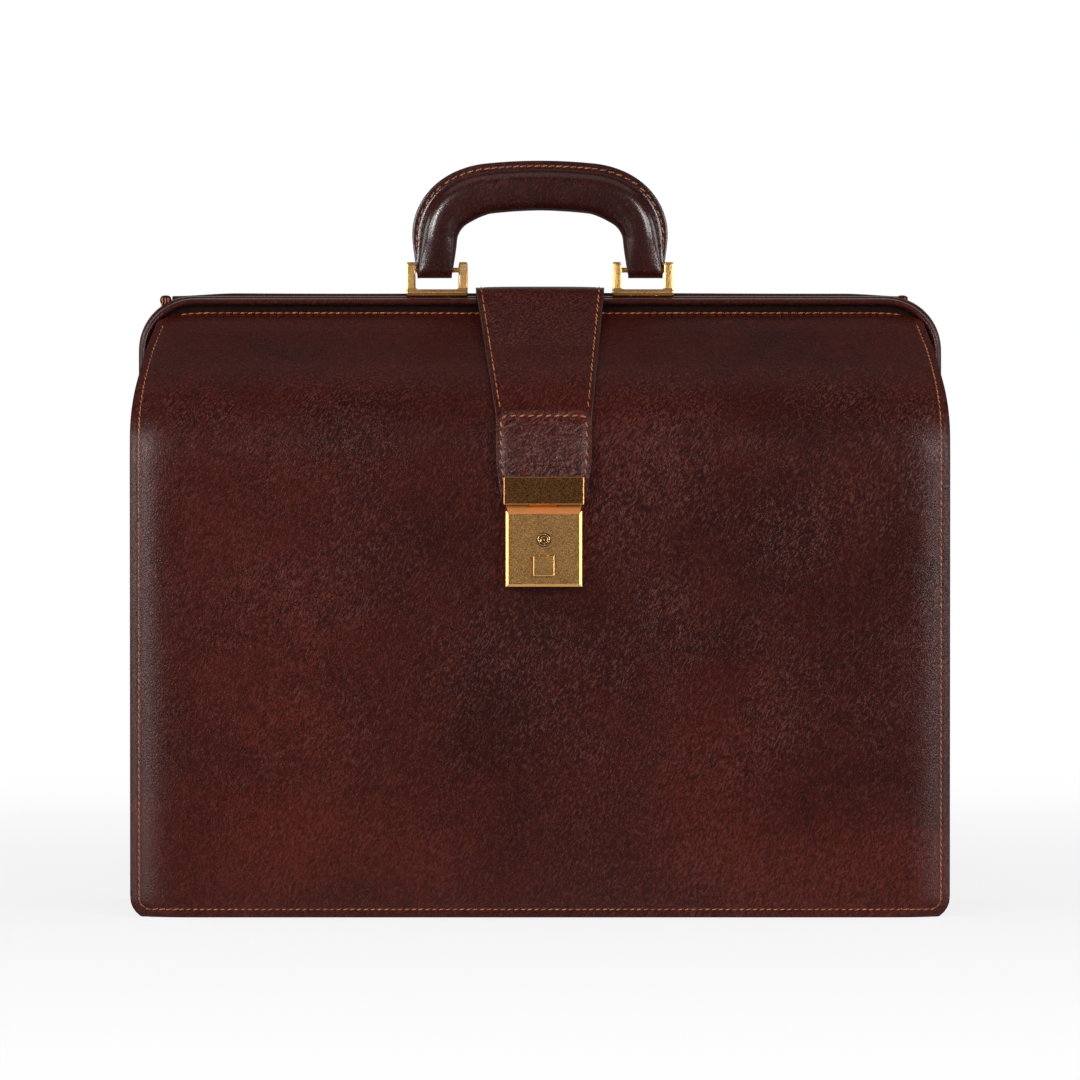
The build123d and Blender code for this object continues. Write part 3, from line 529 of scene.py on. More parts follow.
def steel_finish(name, base, rough):
    net = Net(name)
    place = net.place(stretch=(20, 1, 1))
    brushed = net.noise(place, 1800.0, detail=3.0)
    varied = rough - 0.08 + 0.16 * brushed
    normal = net.bump(brushed, 0.00003, 0.5)
    return net.finish(
        {"Base Color": base, "Metallic": 1.0, "Roughness": varied, "Normal": normal}
    )


brass = brass_finish("satin_brass", colour(0.86, 0.46, 0.160), sand=1.6, dark=0.20)
bevel_brass = brass_finish(
    "bracket_brass", colour(0.95, 0.56, 0.21), sand=1.4, face_rough=0.30, bevel_rough=0.12,
    metallic=0.8, dark=0.55,
)
bright_brass = brass_finish(
    "polished_brass", colour(0.95, 0.62, 0.28), face_rough=0.14, bevel_rough=0.10
)
dark_brass = brass_finish("dark_brass", colour(0.66, 0.29, 0.098), sand=0.5, face_rough=0.30)
# Painted reflection: the top bevel's redder colour stands for the leather pad and hasp that it
# mirrors
pad_reflection_brass = brass_finish("pad_reflection_brass", colour(0.74, 0.29, 0.090), face_rough=0.3, metallic=0.3)
steel = steel_finish("zinc_steel", colour(0.50, 0.49, 0.47), 0.35)
print(len(bpy.data.materials), "materials")

# %% [markdown]
# Working on one piece. An operator acts on all that is selected, and the construction's
# pieces are selected when they are loaded, so everything is deselected before each step and
# one piece chosen. Modifiers are applied at once, which leaves a plain mesh.


# %% Choosing, modifying and smoothing
def deselect():
    bpy.ops.object.select_all(action="DESELECT")


def choose(piece):
    deselect()
    piece.select_set(True)
    bpy.context.view_layer.objects.active = piece


def modify(piece, kind, **settings):
    """Add a modifier and apply it."""
    choose(piece)
    modifier = piece.modifiers.new(kind.lower(), kind)
    for key, value in settings.items():
        setattr(modifier, key, value)
    bpy.ops.object.modifier_apply(modifier=modifier.name)


def smooth(piece, degrees=35):
    choose(piece)
    bpy.ops.object.shade_smooth_by_angle(angle=math.radians(degrees))


def close_up(piece, gap=1e-6):
    """Merge points that lie together and turn every face outwards."""
    choose(piece)
    bpy.ops.object.mode_set(mode="EDIT")
    bpy.ops.mesh.select_all(action="SELECT")
    bpy.ops.mesh.remove_doubles(threshold=gap)
    bpy.ops.mesh.normals_make_consistent(inside=False)
    bpy.ops.object.mode_set(mode="OBJECT")


def dress(piece, *finishes):
    piece.data.materials.clear()
    for finish in finishes:
        piece.data.materials.append(finish)


# %% [markdown]
# Sheets. A hide could be cut from a thick block, but its faces would be hard to bend alike. It
# starts as a grid whose points are moved to where the hide lies, then gets its thickness and
# its soft edges from modifiers, with cloth on the inside and paint on the cut edge.


# %% Sheets
def shaped_grid(name, columns, rows, place):
    """A grid whose point in this column and row is moved to place(column, row)."""
    deselect()
    bpy.ops.mesh.primitive_grid_add(
        x_subdivisions=len(columns) - 1, y_subdivisions=len(rows) - 1, size=2
    )
    piece = bpy.context.object
    piece.name = piece.data.name = name
    for point in piece.data.vertices:
        column = columns[round((point.co.x + 1) / 2 * (len(columns) - 1))]
        row = rows[round((point.co.y + 1) / 2 * (len(rows) - 1))]
        point.co = place(column, row)
    return piece


def hide_sheet(name, columns, rows, place, thickness, finishes, edge=0.0005, painted=False):
    """A sheet of leather: outer face, inner face and cut edge, with its rounding painted too."""
    piece = shaped_grid(name, columns, rows, place)
    modify(piece, "SOLIDIFY", thickness=thickness, offset=-1, material_offset=1,
           material_offset_rim=2)
    dress(piece, *finishes)
    modify(piece, "BEVEL", width=edge, segments=3, limit_method="ANGLE",
           angle_limit=math.radians(50), material=2 if painted else -1)
    smooth(piece)
    return piece


# %% [markdown]
# The profile. Seen from the side each sheet stands up from the floor, bends once, and slopes
# in to its frame. A drawn curve would give the same outline, but the strap, the pad and the
# seams all lie on the leather and have to follow it. So the profile is a function of how far
# up the leather a point is, its run, and every piece asks it for its place.

# %% Profile of the leather
LEATHER_T = 0.0024
GUSSET_T = 0.0022
WELT = 0.007
CORNER_R = 0.010
BEND_R = 0.060
BEND = math.radians(60)

hinge_z = joints["front_frame_swing"]["pos_m"][2]
half_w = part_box("front_panel")[1].x
half_d = -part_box("front_panel")[0].y
ROLL_R = 0.006
NECK = 0.0026  # half the thickness of the roll's neck, which the leather reaches
roll_y = (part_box("back_frame_roll")[0].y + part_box("back_frame_roll")[1].y) / 2
top_u = roll_y + NECK
strap_x = (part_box("lock_case")[0].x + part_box("lock_case")[1].x) / 2
bend_run = BEND_R * BEND
bend_end_u = half_d - BEND_R + BEND_R * math.cos(BEND)
top_run = hinge_z + bend_run + (bend_end_u - top_u) / math.sin(BEND)


def profile(run, out=0.0):
    """Distance from the middle, height and lean of the leather at this run, moved outwards."""
    if run <= hinge_z:
        return half_d + out, run, 0.0
    lean = min((run - hinge_z) / BEND_R, BEND)
    beyond = max(run - hinge_z - bend_run, 0.0)
    u = half_d - BEND_R + (BEND_R + out) * math.cos(lean) - beyond * math.sin(lean)
    z = hinge_z + (BEND_R + out) * math.sin(lean) + beyond * math.cos(lean)
    return u, z, lean


# Heights above the hinge where the sides start to draw in, then run straight, then turn in
DRAWN_FROM, DRAWN_STRAIGHT, DRAWN_ROUND = 0.017, 0.061, 0.0747
DRAWN_BY = 0.0060  # how far they have come in where they start to run straight
DRAWN_SLOPE, ROUND_SLOPE = 0.387, 2.2


def half_width(run):
    """Half the width of a sheet at this run: round at the bottom, drawn in at the top."""
    if run < CORNER_R:
        return half_w - CORNER_R + math.sqrt(max(CORNER_R**2 - (CORNER_R - run) ** 2, 0))
    rise = profile(run)[1] - hinge_z
    eased = max(min(rise, DRAWN_STRAIGHT) - DRAWN_FROM, 0) / (DRAWN_STRAIGHT - DRAWN_FROM)
    drawn = DRAWN_BY * eased**2
    drawn += DRAWN_SLOPE * max(min(rise, DRAWN_ROUND) - DRAWN_STRAIGHT, 0)
    drawn += ROUND_SLOPE * max(rise - DRAWN_ROUND, 0)
    return half_w - drawn


print("leather runs", round(top_run * 1000), "mm up from the floor")

# %% [markdown]
# The skin. The leather is never quite flat, and a flat sheet mirrors the lamps like a board.
# Its edges are pulled in by the side strips, the seams sink a little, and the middle swells
# and dips by a millimetre, except behind the strap and lock, where it is held flat. A bump in
# the material could fake that from the front only. Here the points themselves are moved.


# %% Skin of the leather
def ease(value):
    """0 below 0, 1 above 1, smooth between."""
    value = min(max(value, 0.0), 1.0)
    return value * value * (3 - 2 * value)


def bell(distance, width):
    """1 at no distance, falling off smoothly over this width."""
    return math.exp(-((distance / width) ** 2))


SEAM = 0.0041  # how far inside the raw edge the seam runs
SEAM_SUNK = 0.00035
SEAM_WIDE = 0.0011
EDGE_PULL = 0.0046
EDGE_REACH = 0.022
LONG_SWELL, SHORT_SWELL, LOW_SWELL = 0.0009, 0.0006, 0.0010
LOW_RUN, LOW_WIDE = 0.09, 0.07
TOP_SWELL, TOP_INSET, TOP_WIDE = 0.0011, 0.011, 0.006  # the roll over the padded upper edge
HELD_HALF, HELD_FADE = 0.030, 0.045  # beside the strap's middle, where the leather is held
# Over what length the swell fades in, from the top, from any edge and from the sides
HIGH_FADE, RIM_FADE, SIDE_FADE = 0.06, 0.05, 0.02
FACING = {"front": -1, "back": 1}


def skin(side, x, run, out=0.0):
    """A point on the outer face of a sheet, moved outwards."""
    inset = half_width(run) - abs(x)
    rim = min(inset, run, top_run - run)
    held = ease((abs(x - strap_x) - HELD_HALF) / HELD_FADE) if side == "front" else 1.0
    high = ease((top_run - run) / HIGH_FADE)
    swell = LONG_SWELL * math.sin(9 * x + 0.7) * math.sin(11 * run + 0.4)
    swell += SHORT_SWELL * math.sin(21 * x - 1.1 + 6 * run) * math.sin(17 * run)
    swell += LOW_SWELL * bell(run - LOW_RUN, LOW_WIDE)
    swell *= held * high * ease(rim / RIM_FADE)
    rolled = TOP_SWELL * bell(top_run - run - TOP_INSET, TOP_WIDE)
    swell += held * ease(inset / SIDE_FADE) * rolled
    pull = EDGE_PULL * max(1 - inset / EDGE_REACH, 0) ** 2 * (0.4 + 0.6 * high)
    u, z, _ = profile(run, out + swell - pull - SEAM_SUNK * bell(rim - SEAM, SEAM_WIDE))
    return Vector((x, FACING[side] * u, z))


def skin_normal(side, x, run):
    """Outward direction of the skin there."""
    step = 0.0008
    across = skin(side, x + step, run) - skin(side, x - step, run)
    along = skin(side, x, run + step) - skin(side, x, run - step)
    return (across.cross(along) * -FACING[side]).normalized()


# %% [markdown]
# The grid of a sheet. Even rows and columns would round off the raw edges or take a million
# faces. The columns crowd towards the raw edges, where the seam sinks, and the rows towards
# the bottom corners and the bend, so that few points hold the whole shape.


# %% Rows and columns of a sheet
def steps(start, end, count):
    return [float(value) for value in np.linspace(start, end, count)]


EDGE_COLUMNS = (0, 0.0010, 0.0022, 0.0032, 0.0041, 0.0050, 0.0062, 0.0085, 0.012, 0.017,
                0.024, 0.032, 0.042)
MIDDLE_COLUMNS = 46
corner_rows = [CORNER_R * (1 - math.cos(turn)) for turn in steps(0, math.pi / 2, 9)]
sheet_rows = corner_rows + steps(0.0125, hinge_z, 44) + steps(hinge_z, top_run - 0.009, 26)[1:]
sheet_rows += [top_run - inset for inset in (0.0062, 0.005, 0.0041, 0.0032, 0.0022, 0.001, 0)]
sheet_columns = [("left", inset) for inset in EDGE_COLUMNS]
sheet_columns += [("middle", share) for share in steps(-1, 1, MIDDLE_COLUMNS)[1:-1]]
sheet_columns += [("right", inset) for inset in reversed(EDGE_COLUMNS)]


def across_at(column, run):
    """X of a column at this run."""
    kind, value = column
    if kind == "middle":
        return value * (half_width(run) - EDGE_COLUMNS[-1])
    return (half_width(run) - value) * (-1 if kind == "left" else 1)


print(len(sheet_columns), "columns by", len(sheet_rows), "rows")

# %% [markdown]
# Leather that moves. The mouth opens at a line of rivets, but leather has no hinge. Here a
# sheet, and what is sewn to it, only has its place baked into its mesh; where its bend meets
# the bag and where it meets its frame are worked out, but nothing bends it.

# %% Edges of the bend, and baking a piece in place
OUTER_EDGE = (0, -half_d, hinge_z)
FRAME_EDGE = (0, -top_u, profile(top_run)[1])


def bend_with_frame(piece, side):
    """Work out the edges of the leather's bend, which are not used, and bake its place into its
    mesh.
    """
    start, end = (Vector(place) for place in (OUTER_EDGE, FRAME_EDGE))
    if side == "back":
        start.y, end.y = -start.y, -end.y
    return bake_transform(piece)


# %% [markdown]
# Front and back. Each is one thick hide from the floor to the frame, painted along its cut
# edge. The construction has it as a flat panel and a bent shoulder. One sheet replaces both,
# because a joint across the leather would show.

# %% Front and back leather
for side in ("front", "back"):
    turn = 1 if side == "front" else -1
    sheet = hide_sheet(
        f"{side}_leather", sheet_columns, sheet_rows,
        lambda column, run: skin(side, turn * across_at(column, run), run),
        LEATHER_T, (body_leather, lining_cloth, edge_paint), painted=True,
    )
    bend_with_frame(sheet, side)
    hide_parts(f"{side}_panel", f"{side}_shoulder")
    print(sheet.name, len(sheet.data.polygons), "faces")

# %% [markdown]
# Gussets. The strip between the sheets is turned outwards along its edges and sewn with its
# raw edges flush with theirs. Towards the top it is drawn in along the middle, where it folds
# when the bag shuts. It could be one piece, but each side is made as two halves, one at each
# frame, that meet at the fold. First come the lines that a half runs between.

# %% Lines of the gussets
FRAME_CORNER = 0.022
VALLEY = 0.012  # how far the fold is drawn in
VALLEY_LOW, VALLEY_RISE = 0.07, 0.11  # where that starts, and over what height
VALLEY_TOP, VALLEY_FALL, LET_OUT = 0.208, 0.02, 0.7  # where this share of it is let out again
FOLD_CURVE = 2.4  # how late a gusset curves in towards its fold line
TURN_R = 0.0016
SPLIT_Z = hinge_z - 0.005
LEG_RISE = 0.016  # over what height a frame's leg parts from the middle
LEG_SPARE, LEG_SPARE_RISE = 0.0036, 0.03  # how far inside the leg the fold line starts
WEB_TOP = 0.006  # how far below the middle of the roll the gusset ends

leg_x = {side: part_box(f"{side}_frame_roll")[1].x - ROLL_R for side in FACING}
roll_z = {side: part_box(f"{side}_frame_roll")[1].z - ROLL_R for side in FACING}


def leg_place(side, z):
    """Distance from the middle, and X, of a frame's leg at this height."""
    u = roll_y * ease((z - SPLIT_Z) / LEG_RISE)
    high = max(z - (roll_z[side] - FRAME_CORNER), 0)
    return u, leg_x[side] - FRAME_CORNER + math.sqrt(FRAME_CORNER**2 - high**2)


def web(side, share, run):
    """Outer face of the right-hand gusset, from its raw edge (0) to the fold line (3)."""
    raw = half_width(run)
    depth = -LEATHER_T - GUSSET_T
    if share <= 1:
        return skin(side, raw - share * (WELT - TURN_R), run, depth)
    start = skin(side, raw - WELT + TURN_R, run, depth)
    if run < SPLIT_Z:
        goal_u, goal_z = 0.0, run
        let_out = 1 - LET_OUT * ease((run - VALLEY_TOP) / VALLEY_FALL)
        goal_x = half_w - WELT - VALLEY * ease((run - VALLEY_LOW) / VALLEY_RISE) * let_out
    else:
        risen = (run - SPLIT_Z) / (top_run - SPLIT_Z)
        goal_z = SPLIT_Z + risen * (roll_z[side] - WEB_TOP - SPLIT_Z)
        goal_u, goal_x = leg_place(side, goal_z)
        goal_x -= LEG_SPARE * (1 - ease((goal_z - SPLIT_Z) / LEG_SPARE_RISE))
    goal = Vector((goal_x, FACING[side] * goal_u, goal_z))
    inward = Vector((0, goal.y - start.y, goal.z - start.z)).normalized()
    if share <= 2:
        angle = (share - 1) * math.pi / 2
        sideways = Vector((-math.sin(angle), 0, 0))
        return start + TURN_R * sideways + TURN_R * (1 - math.cos(angle)) * inward
    turned = start + TURN_R * (Vector((-1, 0, 0)) + inward)
    along = share - 2
    point = turned.lerp(goal, along)
    point.x = turned.x + (goal.x - turned.x) * along**FOLD_CURVE
    return point


# %% [markdown]
# The side gussets. A half is one sheet laid between those lines, with narrow columns where the
# leather is turned and wide ones where it runs straight. The left side could be a mirrored
# copy of the right, but a mirrored mesh is inside out, so its columns are laid in the other
# order instead.

# %% Side gussets
web_shares = steps(0, 1, 5) + steps(1, 2, 5)[1:] + steps(2, 3, 17)[1:]
web_rows = steps(CORNER_R, hinge_z, 40) + steps(hinge_z, top_run - 0.002, 26)[1:]
for side in ("front", "back"):
    for name, mirror in (("right", 1), ("left", -1)):
        shares = web_shares if mirror * FACING[side] < 0 else web_shares[::-1]

        def web_place(share, run):
            point = web(side, share, run)
            return Vector((mirror * point.x, point.y, point.z))

        gusset = hide_sheet(
            f"{name}_{side}_gusset", shares, web_rows, web_place,
            GUSSET_T, (body_leather, lining_cloth, edge_paint), edge=0.0004,
        )
        bend_with_frame(gusset, side)
        replaced = [f"{name}_{side}_fold"] + ([f"{name}_gusset"] if side == "front" else [])
        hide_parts(*replaced)
        print(gusset.name, len(gusset.data.polygons), "faces")

# %% [markdown]
# Bottom strip. The same strip goes on under the bag, with its edges turned down, and rounds
# the corners inside the sheets' larger radius. An extruded section would pinch there, so each
# point is found by its travel along the bottom and its share of the way across.


# %% Bottom strip
BOTTOM_CLEAR = 0.0003  # between the strip's edges and the sheets


def bottom_outline(travel):
    """Centre of curvature and outward direction along the bottom, from corner to corner."""
    straight = half_w - CORNER_R
    if abs(travel) <= 1:
        return travel * straight, Vector((0, 0, -1))
    turn = (abs(travel) - 1) * math.pi / 2
    sign = math.copysign(1, travel)
    return sign * straight, Vector((sign * math.sin(turn), 0, -math.cos(turn)))


def bottom_place(travel, share):
    """Lower face of the strip; share runs from the front raw edge to the back one."""
    x, down = bottom_outline(travel)
    side = "front" if share < 0 else "back"
    far = 3 - abs(share)
    height = CORNER_R - min(far, 1) * (WELT - TURN_R)
    across, up = x + height * down.x, CORNER_R + height * down.z
    reach = abs(skin(side, across, up, -LEATHER_T - GUSSET_T - BOTTOM_CLEAR).y)
    if far > 1:
        angle = min(far - 1, 1) * math.pi / 2
        height -= TURN_R * math.sin(angle)
        reach -= TURN_R * (1 - math.cos(angle))
    if far > 2:
        reach *= 3 - far
    return Vector((x, FACING[side] * reach, CORNER_R)) + height * down


travels = [-1 - turn for turn in steps(1, 0, 7)] + steps(-1, 1, 30)[1:-1]
travels += [1 + turn for turn in steps(0, 1, 7)]
half_shares = steps(3, 2, 5) + steps(2, 1, 5)[1:] + steps(1, 0, 9)[1:]
shares = [-share for share in half_shares] + half_shares[::-1][1:]
strip = hide_sheet(
    "bottom_strip", travels[::-1], shares, bottom_place,
    GUSSET_T, (body_leather, lining_cloth, edge_paint), edge=0.0004,
)
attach(strip, "bag")
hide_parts("bottom_gusset")
print(strip.name, len(strip.data.polygons), "faces")

# %% [markdown]
# Lining. Cloth is stretched over the inside of the leather, over the board, and turned in
# under the frames. It is held tight and can't fall into folds, so it isn't simulated, but
# shaped from the leather's own skin. Like the gussets it is made in a front and a back half,
# one for each frame. A half is one cut: the floor, the wall behind the panel and the two
# wings along the gussets.

# %% Lining
LINING_T = 0.0008
LINING_SPARE = 0.0014  # how far its visible face lies inside the leather
LINING_TOP = 0.011  # how far below the leather's upper edge it is sewn
lining_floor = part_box("base_board")[1].z + 0.001


def lining_place(side, share, row):
    """Share -2 to 2 from one fold line to the other; a row below 0 is on the floor."""
    run = max(row, 0) + lining_floor
    mirror = 1 if share > 0 else -1
    corner = web(side, 2, run).x - GUSSET_T - LINING_SPARE
    if abs(share) <= 1:
        point = skin(side, share * corner, run, -LEATHER_T - LINING_SPARE)
    else:
        point = web(side, 1 + abs(share), run)
        point.x = mirror * (point.x - GUSSET_T - LINING_SPARE)
    if row < 0:
        point.y *= 1 + row
    return point


lining_shares = steps(-2, -1, 10) + steps(-1, 1, 40)[1:-1] + steps(1, 2, 10)
lining_rows = [-1, -0.66, -0.33] + steps(0, top_run - LINING_TOP - lining_floor, 44)
for side in ("front", "back"):
    shares = lining_shares if side == "back" else lining_shares[::-1]
    cut = shaped_grid(f"{side}_cut", shares, lining_rows, lambda c, r: lining_place(side, c, r))
    area = sum(face.area for face in cut.data.polygons)
    bpy.data.objects.remove(cut)
    cloth = hide_sheet(
        f"{side}_lining", shares, lining_rows, lambda c, r: lining_place(side, c, r),
        LINING_T, (lining_cloth, lining_cloth, lining_cloth), edge=0.0002,
    )
    bend_with_frame(cloth, side)
    if side == "front":
        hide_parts("lining")
    flat = (2 * (half_w + half_d), top_run - LINING_TOP + half_d)
    print(cloth.name, "cut", [round(size, 3) for size in flat], "area", round(area, 4))

# %% [markdown]
# Tubes. The leather on the frames and on the handle is closed all round, and changes along
# its way. A curve with a bevel would be quicker, but it keeps one section and can't end in a
# rounded tip. So a loop of points is worked out for each place on a path, a grid is laid over
# the loops, and the two edges where it closes are merged.


# %% Tubes
def tube(name, path, section, finish):
    """A closed tube: section(row) gives a loop of points round path[row]."""
    loops = [section(row) for row in range(len(path))]
    around = len(loops[0])
    piece = shaped_grid(
        name, range(around + 1), range(len(path)),
        lambda column, row: loops[row][column % around],
    )
    close_up(piece)
    dress(piece, finish)
    smooth(piece, 60)
    return piece


# %% [markdown]
# Frames. Leather is rolled round each steel frame. The roll has a round bead along its outer
# edge and a neck below it, coloured near black as painted shade for the dark line between the
# roll and the front leather. They could be two tubes, but it is one leather, so it is one tube
# with two finishes, which shrinks towards its feet.

# %% Frame rolls
ROLL_FOOT = hinge_z + 0.0075  # how high the leather ends


def u_path(side):
    """Points along a frame from its left foot over the top to its right foot."""
    x, top = leg_x[side], roll_z[side]
    leg = [(-x, z) for z in steps(ROLL_FOOT, top - FRAME_CORNER, 22)]
    for angle in steps(math.pi, math.pi / 2, 12)[1:]:
        leg.append((-x + FRAME_CORNER * (1 + math.cos(angle)),
                    top - FRAME_CORNER * (1 - math.sin(angle))))
    points = leg + [(across, top) for across in steps(-x + FRAME_CORNER, x - FRAME_CORNER, 40)[1:]]
    points += [(-across, z) for across, z in leg[-2::-1]]
    return [Vector((across, FACING[side] * roll_y, z)) for across, z in points]


# Half of the roll's section in mm: forwards or back, and outwards from the path
BEAD = ((0, 6.0), (2.6, 5.95), (4.6, 5.6), (5.8, 4.9), (6.1, 4.1), (5.8, 3.2), (4.8, 2.6),
        (3.4, 2.2), (3.0, 1.0), (3.0, -1.8), (3.0, -4.6), (2.2, -5.8), (0, -6.0))
BEAD_FOOT = 0.0023  # where the bead ends and the dark neck begins
TIP_SIZES = [0.0, 0.55, 0.85]  # the section's size at the roll's rounded tips


def off_path(side, point):
    """How far outside a frame's path a point lies."""
    beside = max(abs(point.x) - (leg_x[side] - FRAME_CORNER), 0)
    above = max(point.z - (roll_z[side] - FRAME_CORNER), 0)
    return math.hypot(beside, above) - FRAME_CORNER


for side in ("front", "back"):
    path = u_path(side)
    loop = [*BEAD] + [(-across, out) for across, out in BEAD[-2:0:-1]]
    sizes = TIP_SIZES + [1.0] * (len(path) - 2 * len(TIP_SIZES)) + TIP_SIZES[::-1]

    def roll_section(row):
        ahead = path[min(row + 1, len(path) - 1)] - path[max(row - 1, 0)]
        outwards = Vector((0, 1, 0)).cross(ahead).normalized() * -1
        return [
            path[row] + sizes[row] * 0.001 * (Vector((0, across, 0)) + out * outwards)
            for across, out in loop
        ]

    roll = tube(f"{side}_roll", path, roll_section, trim_leather)
    modify(roll, "SUBSURF", levels=1, render_levels=1)
    dress(roll, trim_leather, neck_shade)
    # The neck below the bead gets the near-black painted shade
    for face in roll.data.polygons:
        face.material_index = int(off_path(side, face.center) < BEAD_FOOT)
    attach(roll, f"{side}_frame")
    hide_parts(f"{side}_frame_roll")
    print(roll.name, len(path), "sections")

# %% [markdown]
# The strap's route. It is sewn down behind the back frame, lies over both frames and runs
# down the front to the lock. A bent plate would miss the slopes that it lies on, so the route
# is a line of straight runs a hair above the leather, joined by arcs.

# %% Strap's route
STRAP_T = 0.0032
STRAP_GAP = 0.0003  # between the strap and the leather
ROUTE_STEP = 0.0015
ARC_STEPS = 10
LEAVES_SLOPE = 0.036  # how far behind the middle it leaves the back slope
REACHES_TOP = 0.0155  # and lies flat over the frames
LEAVES_TOP = 0.0103  # how far in front of the middle it turns down again
REACHES_SLOPE = 0.041  # how far behind the front face it meets the front slope
ROUTE_RADII = (0.030, 0.010, 0.012, 0.030, BEND_R + STRAP_GAP)


def rounded(points, radii):
    """Points along straight runs joined by arcs."""
    made = [Vector(points[0])]
    for before, corner, after, radius in zip(points, points[1:], points[2:], radii):
        before, corner, after = Vector(before), Vector(corner), Vector(after)
        back, on = (before - corner).normalized(), (after - corner).normalized()
        half = back.angle(on) / 2
        centre = corner + (back + on).normalized() * radius / math.sin(half)
        first = corner + back * radius / math.tan(half)
        last = corner + on * radius / math.tan(half)
        for share in steps(0, 1, ARC_STEPS):
            spoke = (first - centre).slerp(last - centre, share)
            made.append(centre + spoke.normalized() * radius)
    made.append(Vector(points[-1]))
    even = [made[0]]
    for start, end in zip(made, made[1:]):
        pieces = max(1, round((end - start).length / ROUTE_STEP))
        even += [start.lerp(end, share) for share in steps(0, 1, pieces + 1)[1:]]
    return even


def on_slope(y):
    """Place above the front or back slope at this distance from the middle."""
    corner_z = hinge_z + (BEND_R + STRAP_GAP) * math.tan(BEND / 2)
    return y, corner_z + (half_d + STRAP_GAP - abs(y)) / math.tan(BEND), 0


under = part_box("strap")[1].z - STRAP_T
strap_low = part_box("strap")[0].z
down_y = -half_d - STRAP_GAP
route = rounded(
    [
        on_slope(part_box("strap_anchor")[1].y),
        on_slope(LEAVES_SLOPE),
        (REACHES_TOP, under, 0),
        (-LEAVES_TOP, under, 0),
        on_slope(REACHES_SLOPE - half_d),
        on_slope(down_y),
        (down_y, strap_low, 0),
    ],
    ROUTE_RADII,
)
strap_runs = [0.0]
for start, end in zip(route, route[1:]):
    strap_runs.append(strap_runs[-1] + (end - start).length)
print("strap", round(strap_runs[-1] * 1000), "mm long")

# %% [markdown]
# Strap. It narrows on the way down, has a groove under each seam and thinner edges. It is two
# meshes, though the real one is a single leather: the sewn end behind the back frame, and the
# rest.

# %% Strap
STRAP_HALF = (0.0335, 0.0250, 0.0213)  # at the top, above the pad and at the end
TAPER_Z = hinge_z + 0.027  # the height above the pad where its taper changes
STRAP_SEAM = 0.0027
GROOVE, GROOVE_WIDE = 0.0004, 0.0009
STRAP_EDGE = 0.0005  # how much lower its edges are than its middle
ANCHOR_U = 0.019  # further back than this the strap is sewn down


def strap_point(row, out):
    """Point on the strap's centre line, moved off the bag."""
    ahead = route[min(row + 1, len(route) - 1)] - route[max(row - 1, 0)]
    away = Vector((ahead.y, -ahead.x, 0)).normalized()
    point = route[row] + away * out
    return Vector((0, point.x, point.y)), Vector((0, away.x, away.y))


def strap_size(point):
    """Centre and half width of the strap beside this point."""
    top, above_pad, end = STRAP_HALF
    if point.y > 0:
        return 0.0, top
    if point.z > TAPER_Z:
        share = min((under + STRAP_T - point.z) / (under + STRAP_T - TAPER_Z), 1)
        return strap_x * share, top + (above_pad - top) * share
    share = min((TAPER_Z - point.z) / (TAPER_Z - strap_low), 1)
    return strap_x, above_pad + (end - above_pad) * share


def strap_place(column, row):
    point, away = strap_point(row, STRAP_T)
    centre, half = strap_size(point)
    rim = half * (1 - abs(column))
    sunk = GROOVE * bell(rim - STRAP_SEAM, GROOVE_WIDE) + STRAP_EDGE * column**4
    return point - away * sunk + Vector((centre + column * half, 0, 0))


strap_columns = [-1, -0.975, -0.95, -0.925, -0.90, -0.875, -0.85, -0.80, -0.7, -0.5, -0.3, 0]
strap_columns += [-column for column in strap_columns[-2::-1]]
anchor_rows = sum(point.x > ANCHOR_U for point in route)


def strap_piece(name, rows):
    piece = hide_sheet(
        name, strap_columns, rows, lambda c, r: strap_place(-c, r),
        STRAP_T, (strap_leather, edge_paint, edge_paint), edge=0.0008, painted=True,
    )
    return piece


anchor = strap_piece("strap_anchor_leather", range(anchor_rows + 1))
bend_with_frame(anchor, "back")
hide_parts("strap_anchor")
strap = strap_piece("strap_leather", range(anchor_rows, len(route)))
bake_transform(strap)
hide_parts("strap")
print(anchor.name, anchor_rows, "rows,", strap.name, len(route) - anchor_rows, "rows")

# %% [markdown]
# Pad. A second, stiffened leather over the strap's end, with round upper corners, which
# carries the hasp. It could be a rounded block, but its edge has to dip towards the seam and
# its face has to dome, so it is a sheet of its own, placed on the same profile.

# %% Strap pad
PAD_T = 0.0030
PAD_CORNER = 0.006
PAD_HALF = (0.0245, 0.0213)
PAD_TAPER, PAD_TAPER_RUN = 0.020, 0.032  # where it starts to narrow, and over what length
PAD_SEAM = 0.0026
PAD_DOME, DOME_EDGE = 0.0006, 0.008
HASP_T = 0.002
pad_out = -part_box("hasp_plate")[0].y - half_d - HASP_T
pad_low, pad_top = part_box("strap_pad")[0].z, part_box("strap_pad")[1].z
pad_drop = hinge_z + BEND_R * math.asin((pad_top - hinge_z) / (BEND_R + pad_out)) - pad_low


def pad_half(fall):
    """Half the pad's width this far down from its top edge."""
    taper = ease((fall - PAD_TAPER) / PAD_TAPER_RUN)
    half = PAD_HALF[0] + (PAD_HALF[1] - PAD_HALF[0]) * taper
    if fall < PAD_CORNER:
        half -= PAD_CORNER - math.sqrt(PAD_CORNER**2 - (PAD_CORNER - fall) ** 2)
    return half


def pad_place(column, fall):
    half = pad_half(fall)
    rim = min(half * (1 - abs(column)), fall)
    sunk = PAD_DOME * (1 - ease(rim / DOME_EDGE)) + GROOVE * bell(rim - PAD_SEAM, GROOVE_WIDE)
    u, z, _ = profile(pad_low + pad_drop - fall, pad_out - sunk)
    return Vector((strap_x + column * half, -u, z))


